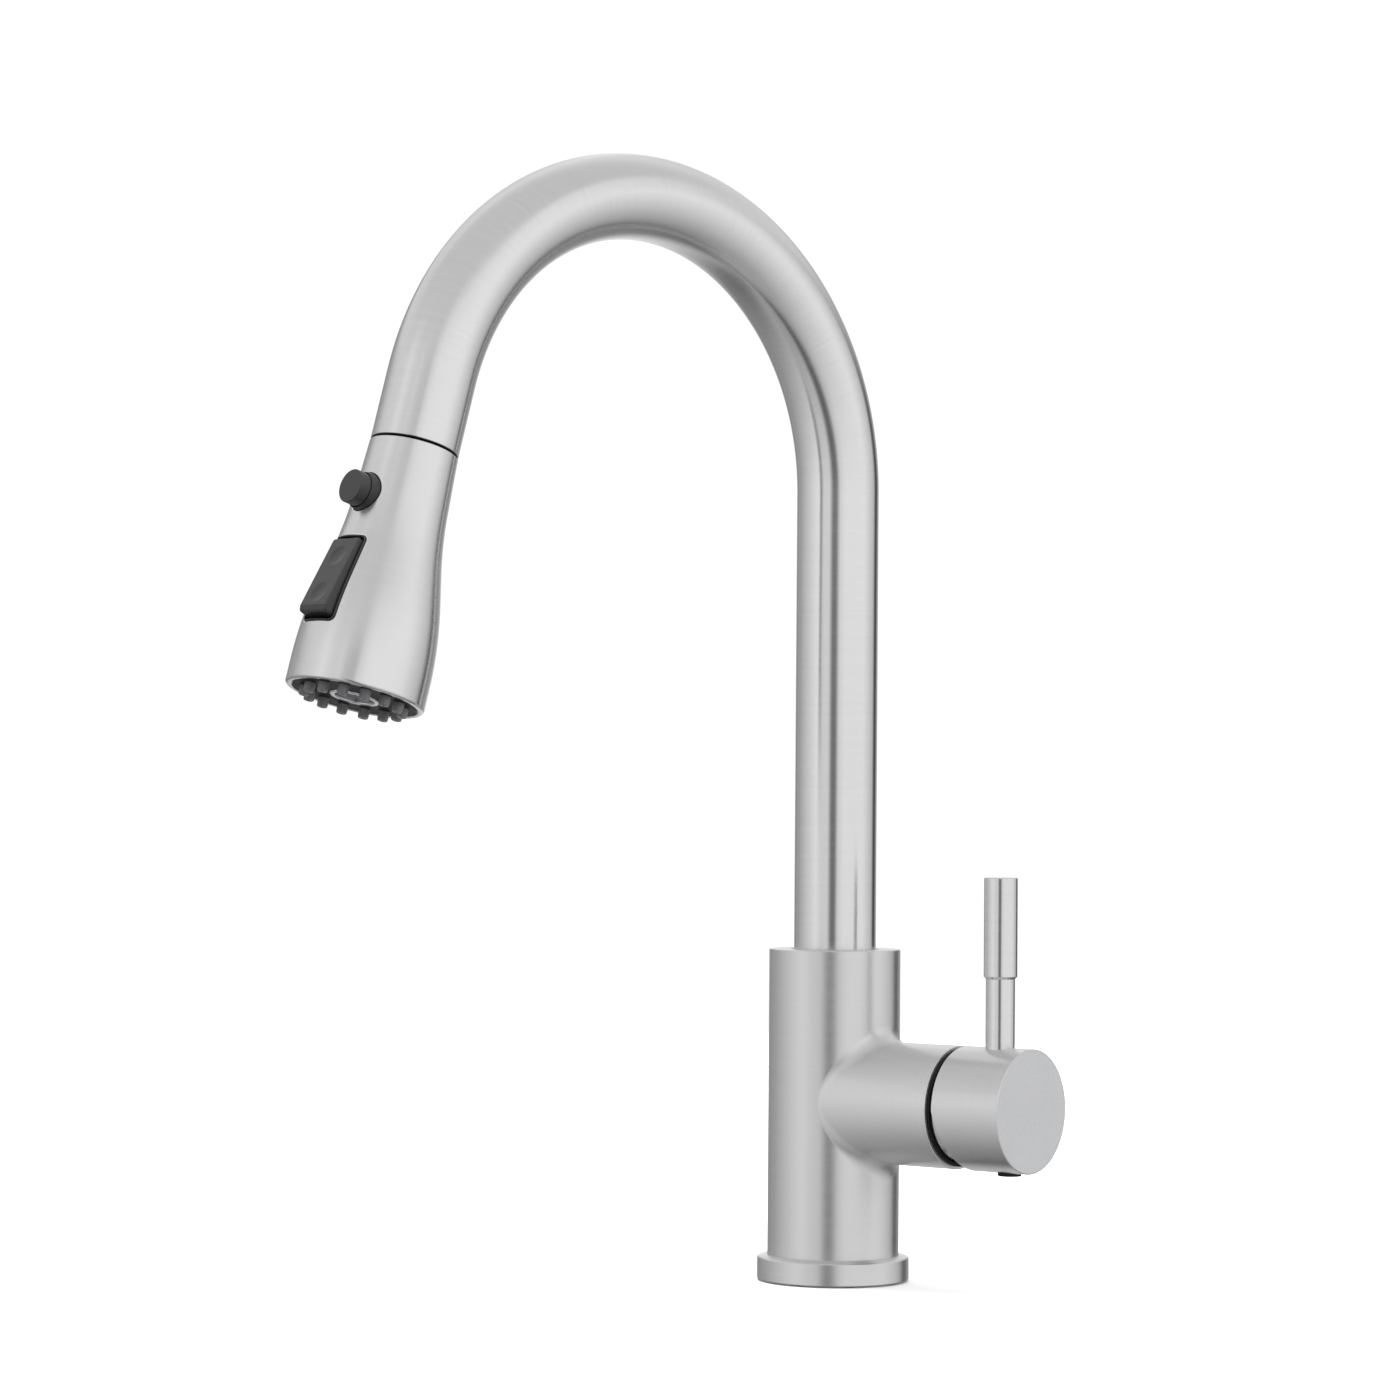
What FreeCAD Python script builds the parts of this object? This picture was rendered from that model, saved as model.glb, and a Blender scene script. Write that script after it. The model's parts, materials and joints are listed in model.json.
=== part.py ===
import FreeCAD, Part
import os
import re
import Sketcher

# Pull-down kitchen faucet with a high arched spout, a side lever and a pull-out spray head.
# Row frame: origin at the centre of the base on the deck, +Z up, +X along the valve arm.
# Millimetres throughout. The spout points to -Y and is swung a little about Z at rest.

DRIVING_SIZES = [
    # body tube and base
    ("body_radius", 24.0), ("body_bore", 22.0), ("body_top", 120.0), ("body_foot", 3.0),
    ("body_roof", 2.5), ("body_mouth", 16.0), ("weld_radius", 6.0),
    ("flange_radius", 27.75), ("flange_rim", 7.7), ("flange_top", 8.8), ("flange_bevel", 0.4),
    ("gasket_inner", 21.5), ("gasket_outer", 25.5), ("gasket_depth", 1.5),
    ("shank_bore", 15.7), ("socket_neck", 17.4), ("socket_top", 16.0),
    # valve arm
    ("arm_radius", 22.05), ("arm_bore", 20.0), ("arm_height", 65.0), ("arm_end", 55.8),
    ("seat_radius", 21.5), ("seat_low", 46.0), ("seat_high", 74.0), ("seat_inner", -1.0),
    ("seat_web_radius", 11.9),
    ("cup_radius", 19.95), ("cup_start", 23.5), ("cup_mouth", 54.5), ("cup_floor", 30.0),
    ("hose_channel", 7.0), ("port_radius", 3.5), ("port_depth", 12.0), ("duct_radius", 2.5),
    ("port_circle", 11.8), ("port_turn", 70.0),
    ("duct_side", 9.5), ("duct_rise", 3.5), ("duct_drop", 9.0),
    # ceramic cartridge, measured along the arm
    ("cartridge_radius", 17.4), ("cartridge_bore", 17.6), ("cartridge_shoulder", 48.2),
    ("thread_bore", 18.6), ("neck_radius", 14.0), ("neck_end", 58.5),
    ("disc_face", 34.0), ("disc_slide", 37.5), ("disc_back", 41.0), ("disc_radius", 13.5),
    ("slider_radius", 10.0), ("chamber_radius", 15.5), ("carrier_end", 45.4),
    ("pivot_place", 52.0), ("pin_radius", 1.25), ("pin_half", 10.5),
    ("stem_half", 3.5), ("stem_end", 78.0), ("ball_place", 44.5), ("ball_radius", 2.3),
    ("spindle_radius", 11.2), ("spindle_flange", 13.2), ("spindle_end", 60.0),
    ("dome_radius", 20.0), ("dome_start", 55.9), ("dome_end", 61.5),
    ("ring_inner", 19.8), ("ring_outer", 21.0), ("ring_end", 57.0),
    # handle
    ("hub_radius", 22.06), ("hub_back", 58.46), ("hub_front", 86.39), ("hub_cavity", 19.9),
    ("hub_floor", 68.0), ("hub_edge", 0.4), ("relief_angle", 14.0),
    ("lever_place", 72.9), ("lever_seat", 86.3), ("lever_lower", 5.2), ("lever_upper", 6.0),
    ("lever_step", 111.3), ("lever_top", 147.3), ("spigot_radius", 3.45), ("spigot_foot", 74.0),
    ("screw_place", 77.2), ("screw_radius", 1.95), ("plug_radius", 4.2), ("plug_stand", 1.0),
    # spout
    ("spout_radius", 15.0), ("spout_bore", 13.6), ("spout_foot_end", 92.0), ("arch_start", 287.0),
    ("arch_radius", 98.0), ("head_lean", 16.15), ("spout_straight", 25.0), ("spout_swing", 8.8),
    ("foot_radius", 17.0), ("foot_low", 81.3), ("foot_bore", 8.5), ("groove_radius", 16.2),
    ("groove_width", 2.1), ("groove_one", 84.0), ("groove_two", 88.0),
    ("oring_centre", 17.25), ("oring_section", 1.04),
    ("collar_low", 77.0), ("collar_bore", 18.4), ("collar_upper", 19.1), ("clip_low", 78.0),
    ("clip_high", 79.5), ("washer_top", 81.0), ("bush_low", 100.0), ("bush_bore", 15.08),
    # hose
    ("hose_radius", 5.5), ("hose_bore", 3.5), ("hose_low", 34.0), ("hose_end", -15.0),
    ("tail_low", 18.0), ("tail_length", 11.0), ("tail_radius", 6.2), ("tail_hex", 7.6),
    ("ferrule_radius", 6.6), ("ferrule_far", -25.0), ("ferrule_near", -14.7),
    # spray head, measured down its axis from the end of the spout
    ("shell_start", 0.9), ("shell_top_radius", 15.1), ("throat_place", 20.0), ("throat_radius", 16.0),
    ("waist_place", 40.0), ("waist_radius", 18.45), ("flare_place", 51.0), ("flare_radius", 20.65),
    ("skirt_place", 78.0), ("skirt_radius", 23.4), ("shell_end", 87.4), ("shell_lip", 1.2),
    ("throat_arc", 135.0), ("skirt_arc", 137.0),
    ("shell_neck_bore", 13.3), ("shell_bore", 20.95), ("lip_bore", 21.3),
    ("hose_thread", 9.35), ("nose_radius", 11.0), ("nose_start", -9.0), ("core_radius", 13.2),
    ("core_flange", 62.5),
    ("core_seat", 20.85), ("chamber_start", 70.0), ("core_end", 81.3), ("passage_radius", 2.6),
    ("insert_bore", 11.3), ("insert_far", -22.0), ("gap_plane", -0.6),
    ("face_back", 82.8), ("face_front", 87.1), ("face_hole", 8.6), ("nozzle_ring", 16.4),
    ("nozzle_radius", 1.9), ("nozzle_tip", 90.3), ("nozzle_count", 14), ("mat_back", 81.4),
    ("aerator_radius", 8.5), ("aerator_bore", 6.9), ("aerator_front", 87.6),
    # pause button and its parts, measured outward from the head's axis
    ("button_place", 21.0), ("button_radius", 5.8), ("button_face", 21.9), ("button_back", 15.8),
    ("plunger_radius", 2.4), ("bezel_bore", 6.05), ("bezel_radius", 6.6), ("bezel_seat", 12.6),
    ("bezel_face", 17.8), ("spring_radius", 3.7), ("spring_wire", 0.35), ("spring_pitch", 1.4),
    # rocker and diverter
    ("rocker_place", 51.55), ("rocker_stand", 22.05), ("rocker_lean", 15.36),
    ("rocker_half_width", 7.0), ("rocker_half_length", 14.15), ("rocker_depth", 5.2),
    ("rocker_pivot", 4.6), ("rocker_pin", 0.9), ("dimple_place", 7.2), ("dimple_sphere", 14.0),
    ("dimple_depth", 0.5), ("frame_half_width", 7.95), ("frame_up", 15.3), ("frame_down", 15.95),
    ("frame_depth", 8.3), ("frame_proud", 0.3), ("well_half_width", 7.35), ("well_up", 14.5),
    ("well_down", 15.2), ("well_depth", 7.5), ("spool_place", 7.0), ("spool_radius", 2.2),
]

doc = FreeCAD.newDocument("pull_down_faucet")
sheet = doc.addObject("Spreadsheet::Sheet", "Dims")
for row, (alias, value) in enumerate(DRIVING_SIZES, start=1):
    sheet.set("A%d" % row, alias)
    sheet.set("B%d" % row, str(value))
    sheet.setAlias("B%d" % row, alias)
doc.recompute()
ALIASES = {alias for alias, value in DRIVING_SIZES}

# Places: each piece is built about the Z axis of one of these frames.
# deck is the row frame; arm has its Z along the valve arm; lever stands on the hub;
# spout is the row frame swung about Z; head has Z down the spray head and Y outward;
# button has Z outward through the pause button; rocker has Y out of the rocker's face.
SWING = "rotation(vector(0;0;1); -spout_swing)"
HEAD_REACH = "(arch_radius * (1 + cos(head_lean)) + spout_straight * sin(head_lean))"
HEAD_HEIGHT = "(arch_start + arch_radius * sin(head_lean) - spout_straight * cos(head_lean))"
HEAD_PLACE = "placement(vector(-%s * sin(spout_swing); -%s * cos(spout_swing); %s); %s * %s)" % (
    HEAD_REACH, HEAD_REACH, HEAD_HEIGHT, SWING, "rotation(vector(1;0;0); 180 - head_lean)")
FRAMES = {
    "deck": "placement(vector(0;0;0); rotation(vector(0;0;1); 0))",
    "arm": "placement(vector(0;0;arm_height); rotation(vector(0;1;0); 90))",
    "lever": "placement(vector(lever_place;0;0); rotation(vector(0;0;1); 0))",
    "spout": "placement(vector(0;0;0); %s)" % SWING,
    "head": HEAD_PLACE,
    "button": HEAD_PLACE + " * placement(vector(0;0;button_place); rotation(vector(1;0;0); -90))",
    "rocker": HEAD_PLACE + " * placement(vector(0;rocker_stand;rocker_place);"
              " rotation(vector(1;0;0); -rocker_lean))",
}


def cells(words):
    """Point every alias in an expression at its cell in the sheet."""
    return re.sub(r"[A-Za-z_]\w*", lambda word: "Dims." + word[0] if word[0] in ALIASES else word[0],
                  str(words))


def number(words):
    """Value of an expression of aliases, as a plain number."""
    value = sheet.evalExpression(cells(words))
    return float(getattr(value, "Value", value))


def place(piece, frame):
    """Stand a piece in its frame."""
    piece.setExpression("Placement", cells(FRAMES[frame]))
    return piece


def bind(piece, **sizes):
    """Bind a primitive's properties to expressions of the sheet's cells."""
    for name, words in sizes.items():
        piece.setExpression(name, cells(words))
    return piece


def move(piece, along=("0", "0", "0"), axis="0;0;1", turn="0"):
    """Put a primitive at a point of its frame, turned about an axis."""
    point = ";".join(along)
    piece.setExpression("Placement", cells("placement(vector(%s); rotation(vector(%s); %s))" % (point,
            axis, turn)))
    return piece


def origin_plane(body, role):
    return next(plane for plane in body.Origin.OriginFeatures if plane.Role == role)


def new_sketch(body, name, role):
    sketch = body.newObject("Sketcher::SketchObject", name)
    sketch.AttachmentSupport = [(origin_plane(body, role), "")]
    sketch.MapMode = "FlatFace"
    return sketch


def pin_point(sketch, edge, end, across, up):
    """Hold one end of an edge at two bound distances from the sketch's origin."""
    for kind, words, axis in (("DistanceX", across, -2), ("DistanceY", up, -1)):
        if str(words) == "0":
            sketch.addConstraint(Sketcher.Constraint("PointOnObject", edge, end, axis))
            continue
        index = sketch.addConstraint(Sketcher.Constraint(kind, -1, 1, edge, end, number(words)))
        sketch.setExpression("Constraints[%d]" % index, cells(words))


def arc_edge(start, end, radius, bulge):
    """Arc between two points; bulge +1 bows to the left of the line from start to end."""
    chord = end - start
    left = FreeCAD.Vector(-chord.y, chord.x, 0).normalize()
    rise = radius - (radius ** 2 - (chord.Length / 2) ** 2) ** 0.5
    return Part.Arc(start, (start + end) / 2 + left * rise * bulge, end)


def outline(sketch, corners):
    """Closed profile. A corner is (across, up), or (across, up, radius, bulge) when an arc leads to it."""
    points = [FreeCAD.Vector(number(corner[0]), number(corner[1]), 0) for corner in corners]
    count = len(points)
    flips = []
    for index in range(count):
        after = (index + 1) % count
        if len(corners[after]) == 2:
            sketch.addGeometry(Part.LineSegment(points[index], points[after]))
            flips.append(False)
            continue
        radius, bulge = corners[after][2:]
        sketch.addGeometry(arc_edge(points[index], points[after], number(radius), bulge))
        first = sketch.getPoint(index, 1)
        flips.append((first - points[index]).Length > 1e-4)
        bound = sketch.addConstraint(Sketcher.Constraint("Radius", index, number(radius)))
        sketch.setExpression("Constraints[%d]" % bound, cells(radius))
    for index in range(count):
        after = (index + 1) % count
        end = 1 if flips[index] else 2
        start = 2 if flips[after] else 1
        sketch.addConstraint(Sketcher.Constraint("Coincident", index, end, after, start))
        pin_point(sketch, after, start, corners[after][0], corners[after][1])


def turned(label, corners, frame=None):
    """Piece turned on a lathe about its frame's Z axis, from its (radius, height) outline."""
    body = doc.addObject("PartDesign::Body", label)
    sketch = new_sketch(body, label + "_profile", "XZ_Plane")
    outline(sketch, corners)
    revolution = body.newObject("PartDesign::Revolution", label + "_revolution")
    revolution.Profile = sketch
    revolution.ReferenceAxis = (sketch, ["V_Axis"])
    revolution.Angle = 360
    if frame:
        place(body, frame)
    return body


def ring(label, inner, outer, low, high, frame=None):
    """Plain ring or washer."""
    return turned(label, [(inner, low), (outer, low), (outer, high), (inner, high)], frame)


def circle_sketch(body, name, circles):
    """Circles on the frame's XY plane, each (across, up, radius)."""
    sketch = new_sketch(body, name, "XY_Plane")
    for index, (across, up, radius) in enumerate(circles):
        centre = FreeCAD.Vector(number(across), number(up), 0)
        sketch.addGeometry(Part.Circle(centre, FreeCAD.Vector(0, 0, 1), number(radius)))
        pin_point(sketch, index, 3, across, up)
        bound = sketch.addConstraint(Sketcher.Constraint("Radius", index, number(radius)))
        sketch.setExpression("Constraints[%d]" % bound, cells(radius))
    return sketch


def drill(body, name, circles):
    """Holes right through a turned piece, along its axis."""
    doc.recompute()
    before = body.Shape.Volume
    pocket = body.newObject("PartDesign::Pocket", name)
    pocket.Profile = circle_sketch(body, name + "_circles", circles)
    pocket.Type = "ThroughAll"
    pocket.Midplane = True
    doc.recompute()
    if body.Shape.Volume > before - 0.1:
        raise RuntimeError(name + " cut nothing")
    return pocket


def ring_of(body, feature, count):
    """Repeat a feature evenly round the body's Z axis."""
    pattern = body.newObject("PartDesign::PolarPattern", feature.Name + "_pattern")
    pattern.Originals = [feature]
    pattern.Axis = (origin_axis(body), [""])
    pattern.Angle = 360
    bind(pattern, Occurrences=count)
    body.Tip = pattern
    return pattern


def origin_axis(body):
    return next(axis for axis in body.Origin.OriginFeatures if axis.Role == "Z_Axis")


def rod(name, radius, length, along=("0", "0", "0"), axis="0;0;1", turn="0"):
    """Plain round bar, used as a blank or as a cutter."""
    bar = doc.addObject("Part::Cylinder", name)
    bind(bar, Radius=radius, Height=length)
    return move(bar, along, axis, turn)


def block(name, low, high):
    """Square block between two opposite corners."""
    solid = doc.addObject("Part::Box", name)
    bind(solid, Length="%s - (%s)" % (high[0], low[0]), Width="%s - (%s)" % (high[1], low[1]),
         Height="%s - (%s)" % (high[2], low[2]))
    return move(solid, low)


def ball(name, radius, along):
    solid = doc.addObject("Part::Sphere", name)
    bind(solid, Radius=radius)
    return move(solid, along)


def joined(label, pieces, frame=None):
    solid = doc.addObject("Part::MultiFuse", label)
    solid.Shapes = pieces
    solid.Refine = True
    return place(solid, frame) if frame else solid


def cut(label, base, cutters, frame=None):
    """Base less its cutters, one cut after another."""
    solid = base
    for count, cutter in enumerate(cutters, start=1):
        last = count == len(cutters)
        step = doc.addObject("Part::Cut", label if last else "%s_cut_%d" % (label, count))
        step.Base = solid
        step.Tool = cutter
        step.Refine = last
        solid = step
    return place(solid, frame) if frame else solid


def shared(label, first, second, frame=None):
    solid = doc.addObject("Part::Common", label)
    solid.Base = first
    solid.Tool = second
    return place(solid, frame) if frame else solid


def group(label, pieces, frame=None):
    """Identical small pieces kept as separate solids of one node."""
    bundle = doc.addObject("Part::Compound", label)
    bundle.Links = pieces
    return place(bundle, frame) if frame else bundle


def rounded(label, base, radius, chosen):
    """Round the edges that chosen(edge) accepts."""
    doc.recompute()
    size = number(radius)
    solid = doc.addObject("Part::Fillet", label)
    solid.Base = base
    solid.Edges = [(index, size, size) for index, edge in enumerate(base.Shape.Edges,
            start=1) if chosen(edge)]
    return solid


def along_y(edge):
    """True for a straight edge parallel to Y."""
    start = edge.firstVertex().Point
    end = edge.lastVertex().Point
    return abs(start.x - end.x) + abs(start.z - end.z) < 1e-6 < abs(start.y - end.y)


# ---- body, base and deck socket ----

def make_body():
    tube = rod("body_tube", "body_radius", "body_top - body_foot", ("0", "0", "body_foot"))
    arm = rod("valve_arm", "arm_radius", "arm_end", ("0", "0", "arm_height"), "0;1;0", "90")
    tee = joined("body_tee", [tube, arm])
    body_radius = number("body_radius")
    arm_radius = number("arm_radius")
    arm_height = number("arm_height")

    def on_weld(edge):
        middle = edge.valueAt((edge.FirstParameter + edge.LastParameter) / 2)
        from_tube = (middle.x ** 2 + middle.y ** 2) ** 0.5
        from_arm = (middle.y ** 2 + (middle.z - arm_height) ** 2) ** 0.5
        return abs(from_tube - body_radius) < 1e-3 and abs(from_arm - arm_radius) < 1e-3

    welded = rounded("body_weld", tee, "weld_radius", on_weld)
    bore = rod("body_inside", "body_bore", "body_top - body_roof", ("0", "0", "0"))
    mouth = rod("body_opening", "body_mouth", "body_top")
    sleeve = rod("arm_inside", "arm_bore", "arm_end + 1", ("0", "0", "arm_height"), "0;1;0", "90")
    cut("body_shell", welded, [bore, mouth, sleeve], "deck")


def make_base():
    turned("base_flange", [
        ("socket_neck + 0.05", "0"), ("gasket_inner", "0"), ("gasket_inner", "gasket_depth"),
        ("gasket_outer", "gasket_depth"), ("gasket_outer", "0"), ("flange_radius - flange_bevel", "0"),
        ("flange_radius", "flange_bevel"), ("flange_radius", "flange_rim - flange_bevel"),
        ("flange_radius - flange_bevel", "flange_rim"), ("body_radius + 0.6", "flange_top"),
        ("body_radius + 0.05", "flange_top"), ("body_radius + 0.05", "body_foot"),
        ("socket_neck + 0.05", "body_foot")], "deck")
    ring("base_gasket", "gasket_inner + 0.05", "gasket_outer - 0.05", "0", "gasket_depth", "deck")
    turned("mounting_socket", [
        ("shank_bore", "0"), ("socket_neck", "0"), ("socket_neck", "body_foot"),
        ("body_bore - 0.05", "body_foot"), ("body_bore - 0.05", "socket_top"),
        ("shank_bore", "socket_top")], "deck")


# ---- valve: seat, ceramic cartridge and its nut ----

def make_seat():
    cup = rod("seat_cup", "cup_radius", "cup_mouth - cup_start", ("cup_start", "0", "arm_height"), "0;1;0",
            "90")
    boss = rod("seat_boss", "seat_radius", "seat_high - seat_low", ("0", "0", "seat_low"))
    side = block("seat_side", ("seat_inner", "-body_bore", "seat_low"), ("cup_start + 1", "body_bore",
            "seat_high"))
    web = rod("seat_web", "seat_web_radius", "cup_start + 1 - hose_channel - 7",
            ("hose_channel + 7", "0", "arm_height"),
              "0;1;0", "90")
    blank = joined("seat_blank", [cup, web, shared("seat_block", boss, side)])
    cutters = [
        rod("seat_hose_channel", "hose_channel", "body_top"),
        rod("seat_bore", "cartridge_bore", "cartridge_shoulder - cup_floor",
            ("cup_floor", "0", "arm_height"), "0;1;0", "90"),
        rod("seat_thread", "thread_bore", "cup_mouth - cartridge_shoulder + 1",
            ("cartridge_shoulder", "0", "arm_height"), "0;1;0", "90"),
        rod("outlet_port", "port_radius", "port_depth", ("port_circle", "0", "seat_low")),
        rod("outlet_duct", "duct_radius", "cup_floor + 1 - port_circle",
            ("port_circle", "0", "arm_height - duct_drop"), "0;1;0", "90"),
    ]
    reach = "port_circle * cos(port_turn)"
    for name, side_sign in (("hot", "-"), ("cold", "")):
        side_place = side_sign + "port_circle * sin(port_turn)"
        cutters.append(rod(name + "_port", "port_radius", "port_depth", (reach, side_place, "seat_low")))
        cutters.append(rod(name + "_riser", "duct_radius", "arm_height + duct_rise - seat_low - 1",
                           (reach, side_place, "seat_low + 1")))
        cutters.append(rod(name + "_duct", "duct_radius", "cup_floor + 1 - " + reach,
                           (reach, side_sign + "duct_side", "arm_height + duct_rise"), "0;1;0", "90"))
    cut("valve_seat", blank, cutters, "deck")


SPRING_COILS = 5
WATERWAYS = [("-duct_rise", "duct_side"), ("-duct_rise", "-duct_side"), ("duct_drop", "0")]


def make_cartridge():
    base = ring("cartridge_base_blank", "2.5", "cartridge_radius", "cup_floor + 0.05", "disc_face")
    drill(base, "base_waterways", [(across, up, "duct_radius") for across, up in WATERWAYS])
    pockets = [rod("seal_pocket_%d" % index, "duct_radius + 1.4", "1.3", (across, up, "cup_floor"))
               for index, (across, up) in enumerate(WATERWAYS)]
    cut("cartridge_base", base, pockets, "arm")
    seals = []
    for index, (across, up) in enumerate(WATERWAYS):
        outer = rod("seal_outer_%d" % index, "duct_radius + 1.35", "1.25", (across, up, "cup_floor + 0.02"))
        inner = rod("seal_inner_%d" % index, "duct_radius", "2", (across, up, "cup_floor"))
        seals.append(cut("seal_%d" % index, outer, [inner]))
    group("cartridge_seals", seals, "arm")

    disc = turned("fixed_disc", [
        ("0", "disc_face"), ("disc_radius", "disc_face"), ("disc_radius", "disc_slide"),
        ("0", "disc_slide")], "arm")
    drill(disc, "fixed_disc_ports", [(across, up, "duct_radius - 0.2") for across, up in WATERWAYS])
    slider = rod("slider_blank", "slider_radius", "disc_back - disc_slide - 0.02",
            ("0", "0", "disc_slide + 0.02"))
    scoop = rod("slider_scoop", "slider_radius - 3.5", "2.2", ("1.5", "0", "disc_slide"))
    cut("moving_disc", slider, [scoop], "arm")
    carrier = rod("carrier_blank", "slider_radius - 0.3", "carrier_end - disc_back - 0.02",
                  ("0", "0", "disc_back + 0.02"))
    cut("disc_carrier", carrier, [rod("carrier_socket", "ball_radius + 0.1", "10",
            ("0", "0", "disc_back + 1"))], "arm")

    turned("cartridge_housing", [
        ("chamber_radius", "disc_face + 0.05"), ("cartridge_radius", "disc_face + 0.05"),
        ("cartridge_radius", "cartridge_shoulder"), ("neck_radius", "cartridge_shoulder"),
        ("neck_radius", "neck_end"), ("spindle_radius + 0.08", "neck_end"),
        ("spindle_radius + 0.08", "cartridge_shoulder - 0.2"), ("spindle_flange + 0.3",
        "cartridge_shoulder - 0.2"),
        ("spindle_flange + 0.3", "carrier_end + 0.3"), ("chamber_radius", "carrier_end + 0.3")], "arm")

    spindle = turned("spindle_blank", [
        ("0", "carrier_end + 0.5"), ("spindle_flange", "carrier_end + 0.5"),
        ("spindle_flange", "cartridge_shoulder - 0.3"), ("spindle_radius", "cartridge_shoulder - 0.3"),
        ("spindle_radius", "spindle_end"), ("0", "spindle_end")])
    slot = block("spindle_slot", ("-spindle_radius + 3.7", "-stem_half - 0.15", "carrier_end"),
                 ("spindle_radius - 3.7", "stem_half + 0.15", "spindle_end + 1"))
    pin_hole = rod("spindle_pin_hole", "pin_radius", "2 * spindle_radius + 2",
                   ("0", "spindle_radius + 1", "pivot_place"), "1;0;0", "90")
    cut("spindle_collar", spindle, [slot, pin_hole], "arm")
    place_pin = rod("stem_pin_blank", "pin_radius", "2 * pin_half", ("0", "pin_half", "pivot_place"),
            "1;0;0", "90")
    group("stem_pin", [place_pin], "arm")

    shank = block("stem_shank", ("-stem_half", "-stem_half", "ball_place + 3"),
                  ("stem_half", "stem_half", "stem_end"))
    neck = rod("stem_neck", "ball_radius - 0.6", "4", ("0", "0", "ball_place"))
    stem = joined("stem_blank", [shank, neck, ball("stem_ball", "ball_radius", ("0", "0", "ball_place"))])
    bore = rod("stem_pin_bore", "pin_radius + 0.05", "4 * stem_half", ("0", "2 * stem_half",
            "pivot_place"), "1;0;0", "90")
    cut("valve_stem", stem, [bore], "arm")

    turned("cartridge_nut", [
        ("neck_radius + 0.1", "cartridge_shoulder + 0.05"), ("thread_bore - 0.05",
        "cartridge_shoulder + 0.05"),
        ("thread_bore - 0.05", "cup_mouth - 0.2"), ("dome_radius - 3.1", "cup_mouth - 0.2"),
        ("dome_radius - 3.1", "neck_end + 0.5"), ("neck_radius + 0.1", "neck_end + 0.5")], "arm")
    dome_low = "sqrt(dome_radius^2 - (dome_start - pivot_place)^2)"
    dome_high = "sqrt(dome_radius^2 - (dome_end - pivot_place)^2)"
    turned("handle_bonnet", [
        ("dome_radius - 3", "dome_start"), (dome_low, "dome_start"), (dome_high, "dome_end", "dome_radius",
        -1),
        ("spindle_radius + 0.8", "dome_end"), ("spindle_radius + 0.8", "neck_end + 0.7"),
        ("dome_radius - 3", "neck_end + 0.7")], "arm")
    ring("handle_trim_ring", "ring_inner", "ring_outer", "arm_end + 0.03", "ring_end", "arm")


# ---- handle ----

def make_handle():
    blank = turned("hub_blank", [
        ("0", "hub_floor"), ("hub_cavity", "hub_floor"), ("hub_cavity", "hub_back"),
        ("hub_radius - hub_edge", "hub_back"), ("hub_radius", "hub_back + hub_edge"),
        ("hub_radius", "hub_front - hub_edge"), ("hub_radius - hub_edge", "hub_front"), ("0", "hub_front")])
    wedge = doc.addObject("Part::Box", "hub_relief")
    bind(wedge, Length="2 * hub_radius", Width="3 * hub_radius", Height="hub_radius")
    wedge_place = ("placement(vector(0;0;hub_back); rotation(vector(0;1;0); -relief_angle))"
                   " * placement(vector(0; -1.5 * hub_radius; -hub_radius); rotation(vector(0;0;1); 0))")
    wedge.setExpression("Placement", cells(wedge_place))
    socket = block("hub_socket", ("-stem_half - 0.03", "-stem_half - 0.03", "hub_floor - 1"),
                   ("stem_half + 0.03", "stem_half + 0.03", "stem_end + 0.5"))
    lever_hole = rod("hub_lever_hole", "spigot_radius + 0.03", "2 * hub_radius",
                     ("arm_height - spigot_foot + 0.2", "0", "lever_place"), "0;1;0", "-90")
    spot_face = rod("hub_spot_face", "lever_lower + 0.03", "hub_radius",
                    ("arm_height - lever_seat", "0", "lever_place"), "0;1;0", "-90")
    screw_hole = rod("hub_screw_hole", "screw_radius + 0.03", "2 * hub_radius", ("0", "0", "screw_place"),
            "0;1;0", "90")
    plug_hole = rod("hub_plug_hole", "plug_radius + 0.02", "hub_radius",
            ("hub_radius - 3.5", "0", "screw_place"), "0;1;0", "90")
    cut("handle_hub", blank, [wedge, socket, lever_hole, spot_face, screw_hole, plug_hole], "arm")

    turned("lever_rod", [
        ("0", "spigot_foot"), ("spigot_radius", "spigot_foot"), ("spigot_radius", "lever_seat"),
        ("lever_lower", "lever_seat"), ("lever_lower", "lever_step"), ("lever_upper", "lever_step + 1"),
        ("lever_upper", "lever_top - 0.5"), ("lever_upper - 0.5", "lever_top"), ("0", "lever_top")], "lever")

    screw = rod("set_screw_blank", "screw_radius", "9", ("stem_half + 0.05", "0", "screw_place"), "0;1;0",
            "90")
    key = doc.addObject("Part::Prism", "set_screw_key")
    key.Polygon = 6
    bind(key, Circumradius="screw_radius - 0.7", Height="4")
    move(key, ("stem_half + 6.5", "0", "screw_place"), "0;1;0", "90")
    cut("handle_set_screw", screw, [key], "arm")
    plug = rod("plug_blank", "plug_radius", "3.5 + plug_stand - 0.1", ("hub_radius - 3.4", "0",
            "screw_place"), "0;1;0", "90")
    outer = number("hub_radius + plug_stand")
    rim = rounded("plug_rounded", plug, "0.4", lambda edge: abs(edge.CenterOfMass.x - outer) < 1e-3)
    group("set_screw_plug", [rim], "arm")


# ---- spout and its swivel ----

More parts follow.
